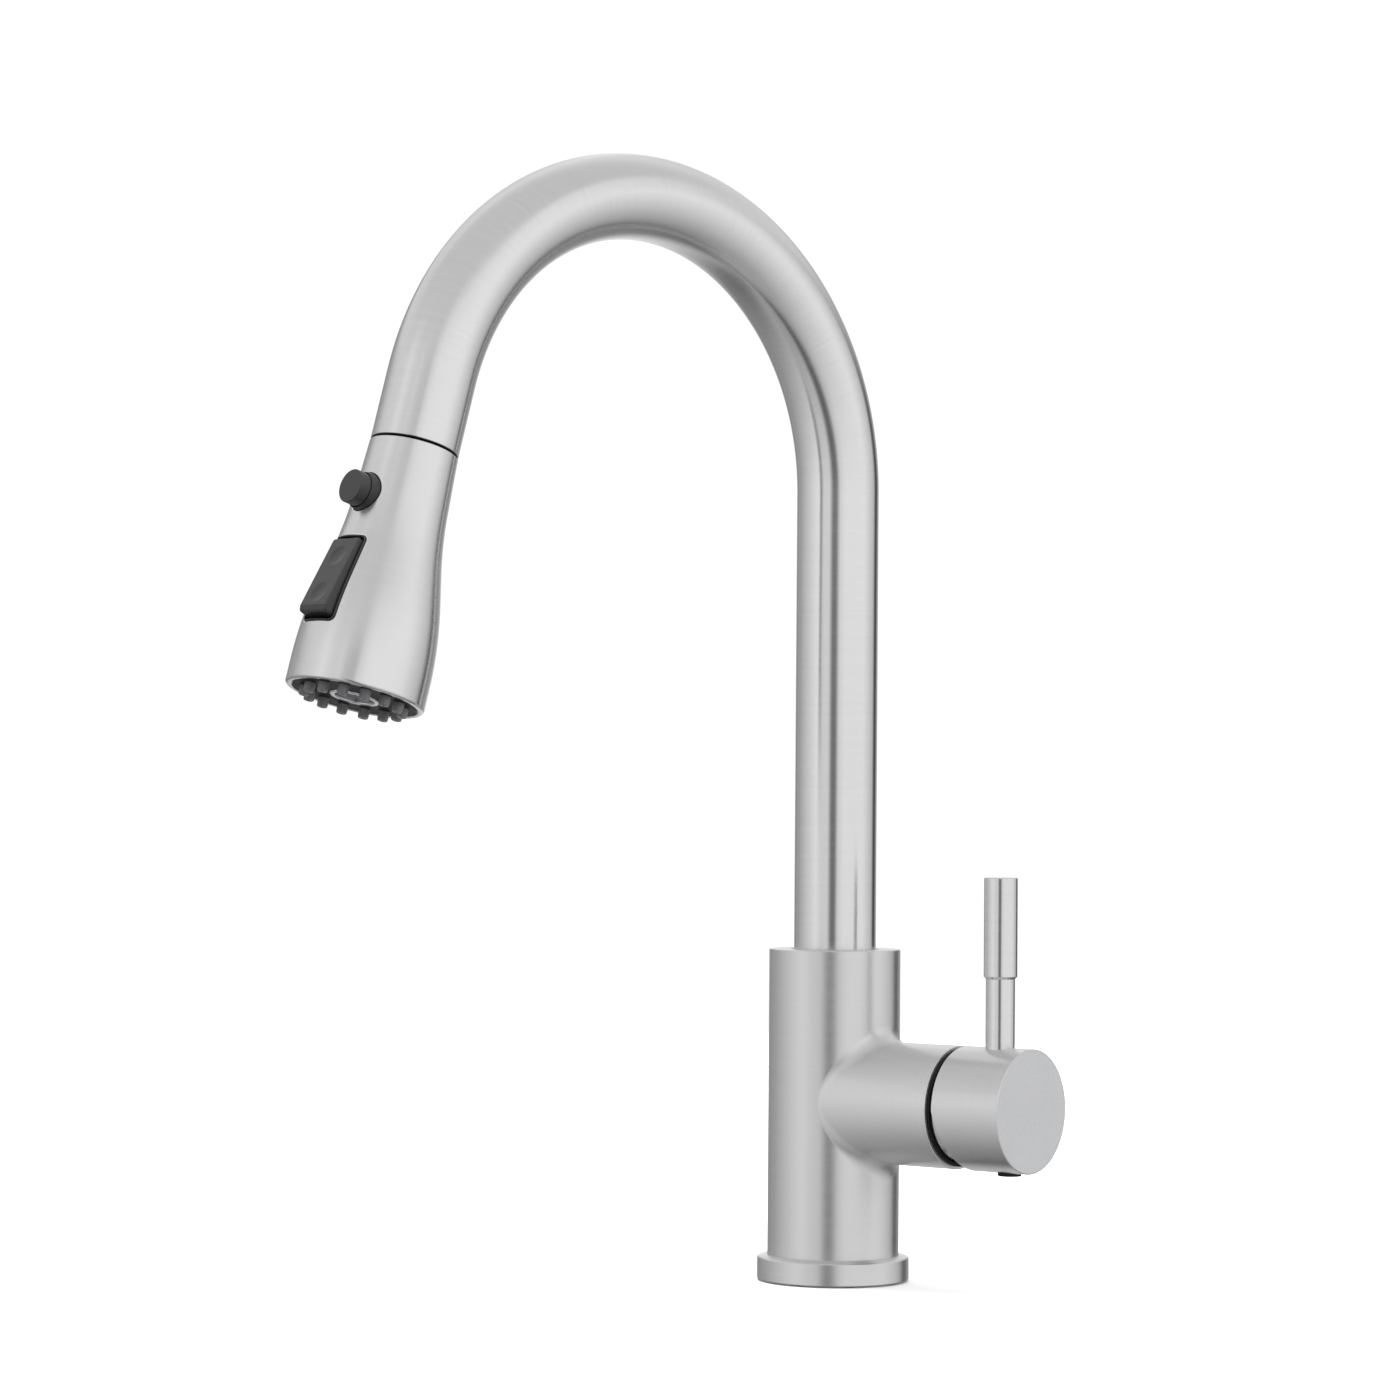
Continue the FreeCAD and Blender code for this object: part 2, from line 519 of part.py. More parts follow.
def swept(label, outer, inner, start, straight, frame):
    """Tube up the vertical leg, round the arch and down a short straight run that leans with the head."""
    body = doc.addObject("PartDesign::Body", label)
    profile = circle_sketch(body, label + "_section", [("0", "0", outer), ("0", "0", inner)])
    offset = "vector(0; 0; %s)" % start
    profile.setExpression("AttachmentOffset", cells("placement(%s; rotation(vector(0;0;1); 0))" % offset))
    path = new_sketch(body, label + "_path", "YZ_Plane")
    radius = number("arch_radius")
    top = number("arch_start")
    length = number(straight)
    lean = FreeCAD.Vector(-number("sin(head_lean)"), -number("cos(head_lean)"), 0)
    centre = FreeCAD.Vector(-radius, top, 0)
    middle = centre + FreeCAD.Vector(0, radius, 0)
    arc_end = centre + FreeCAD.Vector(radius * lean.y, -radius * lean.x, 0)
    tail = arc_end + lean * length
    path.addGeometry(Part.LineSegment(FreeCAD.Vector(0, number(start), 0), FreeCAD.Vector(0, top, 0)))
    path.addGeometry(Part.Arc(FreeCAD.Vector(0, top, 0), middle, arc_end))
    path.addGeometry(Part.LineSegment(arc_end, tail))
    first_end = 1 if (path.getPoint(1, 1) - FreeCAD.Vector(0, top, 0)).Length < 1e-4 else 2
    path.addConstraint(Sketcher.Constraint("Coincident", 0, 2, 1, first_end))
    path.addConstraint(Sketcher.Constraint("Coincident", 1, 3 - first_end, 2, 1))
    pin_point(path, 0, 1, "0", start)
    pin_point(path, 0, 2, "0", "arch_start")
    reach = "-arch_radius * (1 + cos(head_lean))"
    drop = "arch_start + arch_radius * sin(head_lean)"
    pin_point(path, 2, 1, reach, drop)
    pin_point(path, 2, 2, "%s - (%s) * sin(head_lean)" % (reach, straight),
              "%s - (%s) * cos(head_lean)" % (drop, straight))
    bound = path.addConstraint(Sketcher.Constraint("Radius", 1, radius))
    path.setExpression("Constraints[%d]" % bound, cells("arch_radius"))
    doc.recompute()
    pipe = body.newObject("PartDesign::AdditivePipe", label + "_pipe")
    pipe.Profile = profile
    pipe.Spine = (path, [])
    pipe.Mode = "Standard"
    return place(body, frame)


def make_spout():
    swept("spout_tube", "spout_radius", "spout_bore", "spout_foot_end", "spout_straight + gap_plane", "spout")
    turned("spout_foot", [
        ("foot_bore", "foot_low"), ("foot_radius", "foot_low"),
        ("foot_radius", "groove_one"), ("groove_radius", "groove_one"),
        ("groove_radius", "groove_one + groove_width"), ("foot_radius", "groove_one + groove_width"),
        ("foot_radius", "groove_two"), ("groove_radius", "groove_two"),
        ("groove_radius", "groove_two + groove_width"), ("foot_radius", "groove_two + groove_width"),
        ("foot_radius", "spout_foot_end"), ("spout_bore - 0.05", "spout_foot_end"),
        ("spout_bore - 0.05", "spout_foot_end + 20"), ("foot_bore", "spout_foot_end + 20")], "spout")
    rings = []
    for name, low in (("lower_ring", "groove_one"), ("upper_ring", "groove_two")):
        torus = doc.addObject("Part::Torus", name)
        bind(torus, Radius1="oring_centre", Radius2="oring_section")
        rings.append(move(torus, ("0", "0", low + " + groove_width / 2")))
    group("spout_o_rings", rings, "spout")
    turned("swivel_collar", [
        ("collar_bore", "collar_low"), ("body_bore - 0.05", "collar_low"),
        ("body_bore - 0.05", "body_top - body_roof - 0.1"), ("collar_upper", "body_top - body_roof - 0.1"),
        ("collar_upper", "spout_foot_end + 1"), ("collar_bore", "spout_foot_end + 1"),
        ("collar_bore", "clip_high"), ("collar_bore + 1.2", "clip_high"),
        ("collar_bore + 1.2", "clip_low"), ("collar_bore", "clip_low")], "deck")
    clip = ring("clip_blank", "13", "collar_bore + 1.1", "clip_low + 0.05", "clip_high - 0.05")
    gap = block("clip_gap", ("-3", "-collar_upper - 3", "clip_low - 1"), ("3", "-8", "clip_high + 1"))
    cut("spout_retaining_ring", clip, [gap], "deck")
    ring("lower_swivel_bush", "foot_bore + 0.5", "collar_bore - 0.1", "clip_high", "washer_top", "deck")
    turned("upper_swivel_bush", [
        ("bush_bore", "bush_low"), ("collar_upper - 0.1", "bush_low"),
        ("collar_upper - 0.1", "body_top - body_roof - 0.1"), ("body_mouth - 0.1",
        "body_top - body_roof - 0.1"),
        ("body_mouth - 0.1", "body_top - 0.2"), ("bush_bore", "body_top - 0.2")], "deck")


def make_hose():
    swept("pull_hose", "hose_radius", "hose_bore", "hose_low", "spout_straight + hose_end", "spout")
    ring("hose_upper_ferrule", "hose_radius + 0.02", "ferrule_radius", "ferrule_far", "ferrule_near", "head")
    ring("hose_lower_ferrule", "hose_radius + 0.02", "ferrule_radius", "hose_low - 0.5", "hose_low + 17",
            "spout")
    turned("hose_cone", [
        ("2.6", "ferrule_far + 1"), ("hose_bore - 0.05", "ferrule_far + 1"),
        ("hose_bore - 0.05", "ferrule_near + 0.05"), ("ferrule_radius - 0.1", "ferrule_near + 0.05"),
        ("ferrule_radius - 0.1", "-12.4"), ("4.8", "-12.4"),
        ("4.8", "-4"), ("8.6", "-4"), ("8.6", "-1.2"), ("2.6", "-1.2")], "head")
    hex_stop = doc.addObject("Part::Prism", "end_fitting_hex")
    hex_stop.Polygon = 6
    bind(hex_stop, Circumradius="tail_hex", Height="4.4")
    move(hex_stop, ("0", "0", "tail_low + tail_length"))
    thread = rod("end_fitting_thread", "tail_radius", "tail_length + 1", ("0", "0", "tail_low"))
    barb = rod("end_fitting_barb", "hose_bore - 0.05", "18", ("0", "0", "tail_low + tail_length + 3"))
    blank = joined("end_fitting_blank", [hex_stop, thread, barb])
    cut("hose_end_fitting", blank, [rod("end_fitting_bore", "2.6", "body_top")], "spout")


# ---- spray head ----

SHELL_OUTSIDE = [
    ("shell_top_radius", "shell_start"), ("throat_radius", "throat_place"),
    ("waist_radius", "waist_place", "throat_arc", 1), ("flare_radius", "flare_place"),
    ("skirt_radius", "skirt_place", "skirt_arc", -1), ("skirt_radius", "shell_end - shell_lip"),
    ("skirt_radius - shell_lip", "shell_end"),
]


def make_docking():
    turned("docking_insert", [
        ("insert_bore", "insert_far"), ("spout_bore - 0.05", "insert_far"),
        ("spout_bore - 0.05", "gap_plane"),
        ("spout_radius - 0.25", "gap_plane"), ("spout_radius - 0.25", "0.3"), ("insert_bore + 1", "0.3"),
        ("insert_bore", "-2.5"), ("insert_bore", "-6.2"), ("insert_bore + 1.4", "-6.2"),
        ("insert_bore + 1.4", "-7.8"), ("insert_bore", "-7.8")], "head")
    seal = doc.addObject("Part::Torus", "docking_seal_ring")
    bind(seal, Radius1="insert_bore + 0.6", Radius2="0.75")
    group("docking_seal", [move(seal, ("0", "0", "-7"))], "head")


def make_head_shell():
    inside = [
        ("lip_bore", "shell_end"), ("lip_bore", "face_front"), ("shell_bore", "face_front"),
        ("shell_bore", "core_flange - 0.5"), ("throat_radius + 0.4", "waist_place + 2"),
        ("shell_neck_bore", "throat_place + 8"), ("shell_neck_bore", "shell_start")]
    blank = turned("shell_blank", SHELL_OUTSIDE + inside)
    button_hole = rod("shell_button_hole", "bezel_radius + 0.05", "3 * throat_radius",
                      ("0", "0", "button_place"), "1;0;0", "-90")
    slab = block("frame_opening", ("-frame_half_width - 0.05", "-frame_depth", "-frame_up - 0.05"),
                 ("frame_half_width + 0.05", "frame_depth", "frame_down + 0.05"))
    window = rounded("shell_window", slab, "2", along_y)
    window_in_head = group("shell_window_place", [window])
    rocker_place = "placement(vector(0;rocker_stand;rocker_place); rotation(vector(1;0;0); -rocker_lean))"
    window_in_head.setExpression("Placement", cells(rocker_place))
    cut("head_shell", blank, [button_hole, window_in_head], "head")
    return rocker_place


def make_head_core(rocker_place):
    blank = turned("core_blank", [
        ("hose_thread", "nose_start"), ("nose_radius", "nose_start"), ("nose_radius", "shell_start + 0.1"),
        ("core_radius", "shell_start + 0.1"), ("core_radius", "core_flange"), ("core_seat", "core_flange"),
        ("core_seat", "core_end"), ("core_seat - 1.4", "core_end"), ("core_seat - 1.4", "chamber_start"),
        ("passage_radius", "chamber_start"), ("passage_radius", "15"), ("7.5", "15"), ("7.5", "1.6"),
        ("hose_thread", "1.6")])
    bezel_seat = rod("core_bezel_seat", "bezel_radius + 0.1", "10", ("0", "bezel_seat", "button_place"),
            "1;0;0", "-90")
    plunger_bore = rod("core_plunger_bore", "plunger_radius + 0.06", "30", ("0", "-9", "button_place"),
            "1;0;0", "-90")
    spool_bore = rod("core_spool_bore", "spool_radius + 0.05", "25", ("0", "spool_place", "38"))
    cross_duct = rod("core_cross_duct", "1.5", "spool_place", ("0", "0", "45"), "1;0;0", "-90")
    frame_pocket = block("core_frame_pocket", ("-frame_half_width - 0.05", "-frame_depth - 0.05",
            "-frame_up - 0.05"),
                         ("frame_half_width + 0.05", "frame_depth", "frame_down + 0.05"))
    tab_slot = block("core_tab_slot", ("-1.8", "-15.5", "-3.6"), ("1.8", "0", "3.6"))
    rocker_space = group("core_rocker_space", [frame_pocket, tab_slot])
    rocker_space.setExpression("Placement", cells(rocker_place))
    cut("head_core", blank, [bezel_seat, plunger_bore, spool_bore, cross_duct, rocker_space], "head")


def make_inlet():
    turned("hose_nut", [
        ("4.87", "-12.1"), ("9.9", "-12.1"), ("9.9", "nose_start - 0.2"),
        ("hose_thread - 0.05", "nose_start - 0.2"),
        ("hose_thread - 0.05", "-4.3"), ("4.87", "-4.3")], "head")
    ring("hose_washer", "4", "9", "-1", "0.7", "head")
    ring("inlet_screen", "0.6", "8.9", "0.75", "1.5", "head")
    turned("check_valve", [
        ("1.5", "1.8"), ("7.4", "1.8"), ("7.4", "4"), ("6.9", "4"), ("6.9", "6"), ("7.4", "6"), ("7.4", "12"),
        ("5.5", "14.5"), ("1.5", "14.5")], "head")


def make_spray_face():
    plate = ring("spray_faceplate", "face_hole", "shell_bore - 0.05", "face_back", "face_front - 0.02",
            "head")
    hole = drill(plate, "nozzle_hole", [("nozzle_ring", "0", "nozzle_radius + 0.05")])
    ring_of(plate, hole, "nozzle_count")
    mat = ring("nozzle_mat", "nozzle_ring - 4", "nozzle_ring + 3.4", "mat_back", "face_back - 0.05", "head")
    doc.recompute()
    nub = mat.newObject("PartDesign::Pad", "nozzle_nub")
    nub.Profile = circle_sketch(mat, "nozzle_circle", [("nozzle_ring", "0", "nozzle_radius")])
    offset = "placement(vector(0;0;mat_back); rotation(vector(0;0;1); 0))"
    nub.Profile[0].setExpression("AttachmentOffset", cells(offset))
    bind(nub, Length="nozzle_tip - mat_back")
    doc.recompute()
    ring_of(mat, nub, "nozzle_count")
    turned("aerator_housing", [
        ("aerator_bore", "78"), ("aerator_radius", "78"), ("aerator_radius", "aerator_front"),
        ("aerator_bore - 0.5", "aerator_front"), ("aerator_bore - 0.5", "aerator_front - 1"),
        ("aerator_bore", "aerator_front - 1")], "head")
    ring("aerator_screen", "0.5", "aerator_bore - 0.05", "aerator_front - 1.8", "aerator_front - 1.05",
            "head")
    turned("aerator_insert", [
        ("0.8", "79"), ("aerator_bore - 0.05", "79"), ("aerator_bore - 0.05", "80.5"), ("5.2", "82"),
        ("5.2", "aerator_front - 1.9"), ("0.8", "aerator_front - 1.9")], "head")


def make_button():
    turned("pause_button", [
        ("0", "-5"), ("plunger_radius", "-5"), ("plunger_radius", "-passage_radius"),
        ("1.3", "-passage_radius"),
        ("1.3", "passage_radius + 0.8"), ("plunger_radius", "passage_radius + 0.8"),
        ("plunger_radius", "button_face - 2.8"), ("button_radius - 1.2", "button_face - 2.8"),
        ("button_radius - 1.2", "button_back"), ("button_radius", "button_back"),
        ("button_radius", "button_face - 0.5"), ("button_radius - 0.5", "button_face"),
        ("0", "button_face")], "button")
    turned("button_bezel", [
        ("bezel_bore", "bezel_seat"), ("bezel_radius", "bezel_seat"), ("bezel_radius", "bezel_face - 1.2"),
        ("bezel_bore + 0.12", "bezel_face"), ("bezel_bore", "bezel_face")], "button")
    coils = []
    for count in range(SPRING_COILS):
        coil = doc.addObject("Part::Torus", "spring_coil_%d" % count)
        bind(coil, Radius1="spring_radius", Radius2="spring_wire")
        coils.append(move(coil, ("0", "0", "bezel_seat + 0.5 + %d * spring_pitch" % count)))
    group("pause_button_spring", coils, "button")


def make_rocker(rocker_place):
    well_low = ("-well_half_width", "-well_depth", "-well_up")
    well_high = ("well_half_width", "frame_depth", "well_down")
    slab = block("frame_slab", ("-frame_half_width", "-frame_depth", "-frame_up"),
                 ("frame_half_width", "frame_depth", "frame_down"))
    frame_blank = group("frame_place", [rounded("frame_rounded", slab, "2", along_y)])
    frame_blank.setExpression("Placement", cells(rocker_place))
    proud = [(corner[0] + " + frame_proud",) + corner[1:2] + corner[2:] for corner in SHELL_OUTSIDE]
    skin = turned("frame_skin", proud + [("0", "shell_end"), ("0", "shell_start")])
    trimmed = shared("frame_trimmed", frame_blank, skin)
    well = block("frame_well", well_low, well_high)
    slot = block("frame_slot", ("-1.8", "-frame_depth - 1", "-3.2"), ("1.8", "0", "3.2"))
    holes = rod("frame_pin_hole", "rocker_pin", "2 * frame_half_width - 0.3",
                ("-frame_half_width + 0.15", "-rocker_pivot", "0"), "0;1;0", "90")
    hollow = group("frame_hollow", [well, slot, holes])
    hollow.setExpression("Placement", cells(rocker_place))
    cut("rocker_frame", trimmed, [hollow], "head")

    cap = block("rocker_cap", ("-rocker_half_width", "-rocker_depth", "-rocker_half_length"),
                ("rocker_half_width", "0", "rocker_half_length"))
    soft = rounded("rocker_soft", cap, "1", along_y)
    lug = block("rocker_lug", ("-rocker_half_width", "-rocker_depth - 1", "-2.2"),
            ("rocker_half_width", "-1", "2.2"))
    tab = block("rocker_tab", ("-1.4", "-14", "-1.1"), ("1.4", "-1", "1.1"))
    blank = joined("rocker_blank", [soft, lug, tab])
    sink = "dimple_sphere - dimple_depth"
    dimples = [ball("dimple_%d" % index, "dimple_sphere", ("0", sink, place_sign + "dimple_place"))
               for index, place_sign in enumerate(("", "-"))]
    pin_bore = rod("rocker_pin_bore", "rocker_pin + 0.05", "4 * rocker_half_width",
                   ("-2 * rocker_half_width", "-rocker_pivot", "0"), "0;1;0", "90")
    cut("rocker_switch", blank, dimples + [pin_bore], "rocker")
    pin = rod("rocker_pin_blank", "rocker_pin", "2 * frame_half_width - 0.4",
              ("-frame_half_width + 0.2", "-rocker_pivot", "0"), "0;1;0", "90")
    group("rocker_pivot_pin", [pin], "rocker")

    tab_place = "rocker_place + 13.6 * sin(rocker_lean)"
    spool = turned("spool_blank", [
        ("0", "40.5"), ("spool_radius", "40.5"), ("spool_radius", tab_place + " - 2"),
        ("0.8", tab_place + " - 2"),
        ("0.8", tab_place + " + 2"), ("spool_radius", tab_place + " + 2"), ("spool_radius", "61.5"),
        ("0", "61.5")])
    move(spool, ("0", "spool_place", "0"))
    group("diverter_spool", [spool], "head")


make_body()
make_base()
make_seat()
make_cartridge()
make_handle()
make_spout()
make_hose()
make_docking()
shell_rocker_place = make_head_shell()
make_head_core(shell_rocker_place)
make_inlet()
make_spray_face()
make_button()
make_rocker(shell_rocker_place)
doc.recompute()

NODES = [
    "body_shell", "base_flange", "base_gasket", "mounting_socket", "valve_seat", "cartridge_base",
    "cartridge_seals", "fixed_disc", "cartridge_housing", "cartridge_nut", "handle_bonnet",
    "handle_trim_ring", "swivel_collar", "upper_swivel_bush", "lower_swivel_bush",
    "spout_retaining_ring", "spout_tube", "spout_foot", "spout_o_rings", "docking_insert",
    "docking_seal", "pull_hose", "hose_lower_ferrule", "hose_end_fitting", "hose_upper_ferrule",
    "hose_cone", "head_shell", "head_core", "hose_nut", "hose_washer", "inlet_screen", "check_valve",
    "spray_faceplate", "nozzle_mat", "aerator_housing", "aerator_screen", "aerator_insert",
    "button_bezel", "pause_button_spring", "rocker_frame", "rocker_pivot_pin", "pause_button",
    "rocker_switch", "diverter_spool", "spindle_collar", "stem_pin", "moving_disc", "disc_carrier",
    "handle_hub", "lever_rod", "valve_stem", "handle_set_screw", "set_screw_plug",
]

for item in doc.Objects:
    if {"Invalid", "Error"} & set(item.State):
        raise RuntimeError("%s did not recompute: %s" % (item.Label, item.State))
os.makedirs("parts", exist_ok=True)
for label in NODES:
    piece = doc.getObjectsByLabel(label)[0]
    shape = piece.Shape
    if shape.isNull() or not shape.isValid() or not shape.Solids:
        raise RuntimeError(label + " has no valid solid")
    shape.exportStep("parts/%s.step" % label)
    box = shape.optimalBoundingBox(False)
    print("%-22s %2d solid(s) %10.1f mm3  x %7.1f %7.1f  y %7.1f %7.1f  z %7.1f %7.1f" % (
        label, len(shape.Solids), shape.Volume, box.XMin, box.XMax, box.YMin, box.YMax, box.ZMin, box.ZMax))
print(len(NODES), "nodes")
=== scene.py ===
# %% [markdown]
# # A pull-down kitchen faucet
# The faucet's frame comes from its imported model: every node is already in its true
# place, in metres, with +Z up and the valve arm along +X. This lesson dresses that
# frame. Each piece that shows is drawn again as a smooth surface worked out with
# numpy, and every piece gets a finish made of shader nodes.

# %% Load the frame
import json
import math
import bpy
import mathutils
import numpy as np
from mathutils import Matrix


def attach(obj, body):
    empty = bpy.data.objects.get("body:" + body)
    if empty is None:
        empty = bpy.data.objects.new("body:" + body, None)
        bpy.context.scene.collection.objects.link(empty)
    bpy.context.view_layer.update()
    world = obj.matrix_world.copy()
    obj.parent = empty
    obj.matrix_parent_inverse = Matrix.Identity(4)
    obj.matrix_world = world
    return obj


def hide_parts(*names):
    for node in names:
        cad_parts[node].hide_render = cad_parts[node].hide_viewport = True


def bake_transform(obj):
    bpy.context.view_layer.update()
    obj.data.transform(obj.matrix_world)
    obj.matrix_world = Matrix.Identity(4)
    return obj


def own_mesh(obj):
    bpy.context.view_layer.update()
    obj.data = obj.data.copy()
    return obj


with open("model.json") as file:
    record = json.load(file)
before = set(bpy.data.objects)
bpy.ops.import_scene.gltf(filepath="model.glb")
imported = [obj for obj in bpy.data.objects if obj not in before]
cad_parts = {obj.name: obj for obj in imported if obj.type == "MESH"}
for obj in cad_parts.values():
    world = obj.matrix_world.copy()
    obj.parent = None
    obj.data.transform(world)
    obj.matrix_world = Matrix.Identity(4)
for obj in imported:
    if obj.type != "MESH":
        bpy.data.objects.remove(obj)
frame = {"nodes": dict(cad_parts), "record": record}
for default in ("Cube", "Light", "Camera"):
    if default in bpy.data.objects:
        bpy.data.objects.remove(bpy.data.objects[default])
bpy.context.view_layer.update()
MM = 0.001
print("nodes in the frame:", len(frame["nodes"]))

# %% [markdown]
# ## Places
# A turned piece is easiest to draw about its own axis. A place is an origin and three
# axes; a point drawn as (across, up, along) is carried there by adding up the axes.
# The spray head hangs from the end of the spout, leaning 16 degrees out of plumb, and
# the whole spout is swung 9 degrees from straight ahead.

# %% Places on the faucet
SWING, LEAN, ROCKER_LEAN = math.radians(8.8), math.radians(16.15), math.radians(15.36)
ARCH_START, ARCH_RADIUS, TAIL = 287.0, 98.0, 25.0


def spot(origin, across, up, along):
    """A place: its origin in millimetres and its three axes."""
    return np.array(origin, float), np.array([across, up, along], float)


def put(points, place):
    """Each point is the origin plus its three numbers times the three axes, in metres."""
    return (place[0] + points @ place[1]) * MM


def turn_only(directions, place):
    return directions @ place[1]


forward = np.array([-math.sin(SWING), -math.cos(SWING), 0.0])
sideways = np.array([math.cos(SWING), -math.sin(SWING), 0.0])
upward = np.array([0.0, 0.0, 1.0])
out_of_head = math.cos(LEAN) * forward + math.sin(LEAN) * upward
down_head = math.sin(LEAN) * forward - math.cos(LEAN) * upward
reach = ARCH_RADIUS * (1 + math.cos(LEAN)) + TAIL * math.sin(LEAN)
height = ARCH_START + ARCH_RADIUS * math.sin(LEAN) - TAIL * math.cos(LEAN)
head_origin = reach * forward + height * upward

deck = spot((0, 0, 0), (1, 0, 0), (0, 1, 0), (0, 0, 1))
arm = spot((0, 0, 65.0), (0, 0, -1), (0, 1, 0), (1, 0, 0))
lever_axis = spot((72.9, 0, 0), (1, 0, 0), (0, 1, 0), (0, 0, 1))
head = spot(head_origin, sideways, out_of_head, down_head)
button_axis = spot(head_origin + 21.0 * down_head, sideways, -down_head, out_of_head)
rocker_up = math.cos(ROCKER_LEAN) * out_of_head - math.sin(ROCKER_LEAN) * down_head
rocker_along = math.sin(ROCKER_LEAN) * out_of_head + math.cos(ROCKER_LEAN) * down_head
rocker_spot = spot(head_origin + 22.05 * out_of_head + 51.55 * down_head, sideways, rocker_up, rocker_along)
print("spray head hangs from", np.round(head_origin, 1), "mm")

# %% [markdown]
# ## Sheets and pieces
# A sheet is a grid of points, with the surface's own direction at each point. Giving
# Blender those directions keeps a flat flat and a round round, so that brushed steel
# mirrors the studio cleanly right up to a small rounded edge. A piece is one mesh of
# one or more sheets. Its UV map holds the turn round the piece and the way along it
# in metres, which is what a brushed finish needs.


# %% From grids to a mesh
def directions_of(points, closed_round, closed_along):
    """At each point, the way across times the way along: the grid's own outward direction."""
    across = np.roll(points, -1, 1) - np.roll(points, 1, 1)
    if not closed_round:
        across = np.gradient(points, axis=1)
    along = np.roll(points, -1, 0) - np.roll(points, 1, 0)
    if not closed_along:
        along = np.gradient(points, axis=0)
    found = np.cross(across, along)
    return found / np.maximum(np.linalg.norm(found, axis=2, keepdims=True), 1e-12)


def sheet(points, normals=None, closed_round=True, closed_along=False, along=None):
    """Grid of points: rows along the piece, columns round it. One wound the wrong way is turned over."""
    found = directions_of(points, closed_round, closed_along)
    if normals is None:
        normals = found
    elif (found * normals).sum() < 0:
        points, normals = points[:, ::-1], normals[:, ::-1]
    if along is None:
        steps = np.linalg.norm(np.diff(points, axis=0), axis=2).max(axis=1)
        along = np.concatenate([[0.0], np.cumsum(steps)])
    return {"points": points, "normals": normals, "round": closed_round, "closed": closed_along,
            "along": along}


def corners_of(part, first):
    """Four corners of every face as numbers of points, with the turn and the length at each corner."""
    rows, columns = part["points"].shape[:2]
    number = first + np.arange(rows * columns).reshape(rows, columns)
    i = np.arange(rows if part["closed"] else rows - 1)[:, None]
    j = np.arange(columns if part["round"] else columns - 1)[None, :]
    after_i, after_j = (i + 1) % rows, (j + 1) % columns
    quads = np.stack([number[i, j], number[i, after_j], number[after_i, after_j], number[after_i, j]], axis=2)
    span = columns if part["round"] else columns - 1
    length = np.append(part["along"], part["along"][-1] + 0.001)
    u = np.stack([j + 0 * i, j + 1 + 0 * i, j + 1 + 0 * i, j + 0 * i], axis=2) / span
    v = np.stack([length[i] + 0 * j, length[i] + 0 * j, length[i + 1] + 0 * j, length[i + 1] + 0 * j], axis=2)
    return quads.reshape(-1, 4), np.stack([u, v], axis=3).reshape(-1, 4, 2)


def piece(name, parts, body, finish, *stands_for):
    """Make one mesh of the sheets, weld points that coincide at a pole, and let it ride on a body."""
    points = np.concatenate([part["points"].reshape(-1, 3) for part in parts])
    normals = np.concatenate([part["normals"].reshape(-1, 3) for part in parts])
    counts = np.cumsum([0] + [part["points"].shape[0] * part["points"].shape[1] for part in parts])
    found = [corners_of(part, first) for part, first in zip(parts, counts)]
    quads = np.concatenate([f[0] for f in found])
    maps = np.concatenate([f[1] for f in found])
    keys = np.round(points * 1e7).astype(np.int64)
    kept, first_seen, weld = np.unique(keys, axis=0, return_index=True, return_inverse=True)
    quads = weld.reshape(-1)[quads]
    points, normals = points[first_seen], normals[first_seen]
    same = quads == np.roll(quads, -1, axis=1)
    whole = ~same.any(axis=1)
    tips = same.sum(axis=1) == 1
    keep = ~same[tips]
    triangles = quads[tips][keep].reshape(-1, 3)
    mesh = bpy.data.meshes.new(name)
    mesh.from_pydata(points, [], quads[whole].tolist() + triangles.tolist())
    mesh.polygons.foreach_set("use_smooth", np.ones(len(mesh.polygons), bool))
    layer = mesh.uv_layers.new(name="turning")
    layer.data.foreach_set("uv", np.concatenate([maps[whole].reshape(-1), maps[tips][keep].reshape(-1)]))
    mesh.normals_split_custom_set_from_vertices(normals)
    mesh.materials.append(finish)
    made = bpy.data.objects.new(name, mesh)
    bpy.context.scene.collection.objects.link(made)
    if body:
        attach(made, body)
    if stands_for:
        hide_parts(*stands_for)
    facing = np.zeros(len(mesh.polygons) * 3, np.float32)
    mesh.polygons.foreach_get("normal", facing)
    first_corner = np.array([p[0] for p in quads[whole]])
    agree = (facing.reshape(-1, 3)[:len(first_corner)] * normals[first_corner]).sum(axis=1)
    print("%-20s %6d faces, %.0f%% face out" % (name, len(mesh.polygons), 100 * (agree > 0).mean()))
    return made


# %% [markdown]
# ## Turned pieces
# Nearly every part of a faucet is turned on a lathe, so it is a profile spun about an
# axis. The profile is a list of corners, each with the radius that breaks its edge. A
# real edge is never sharp, and the thin line of light on it is what makes steel look
# like steel.


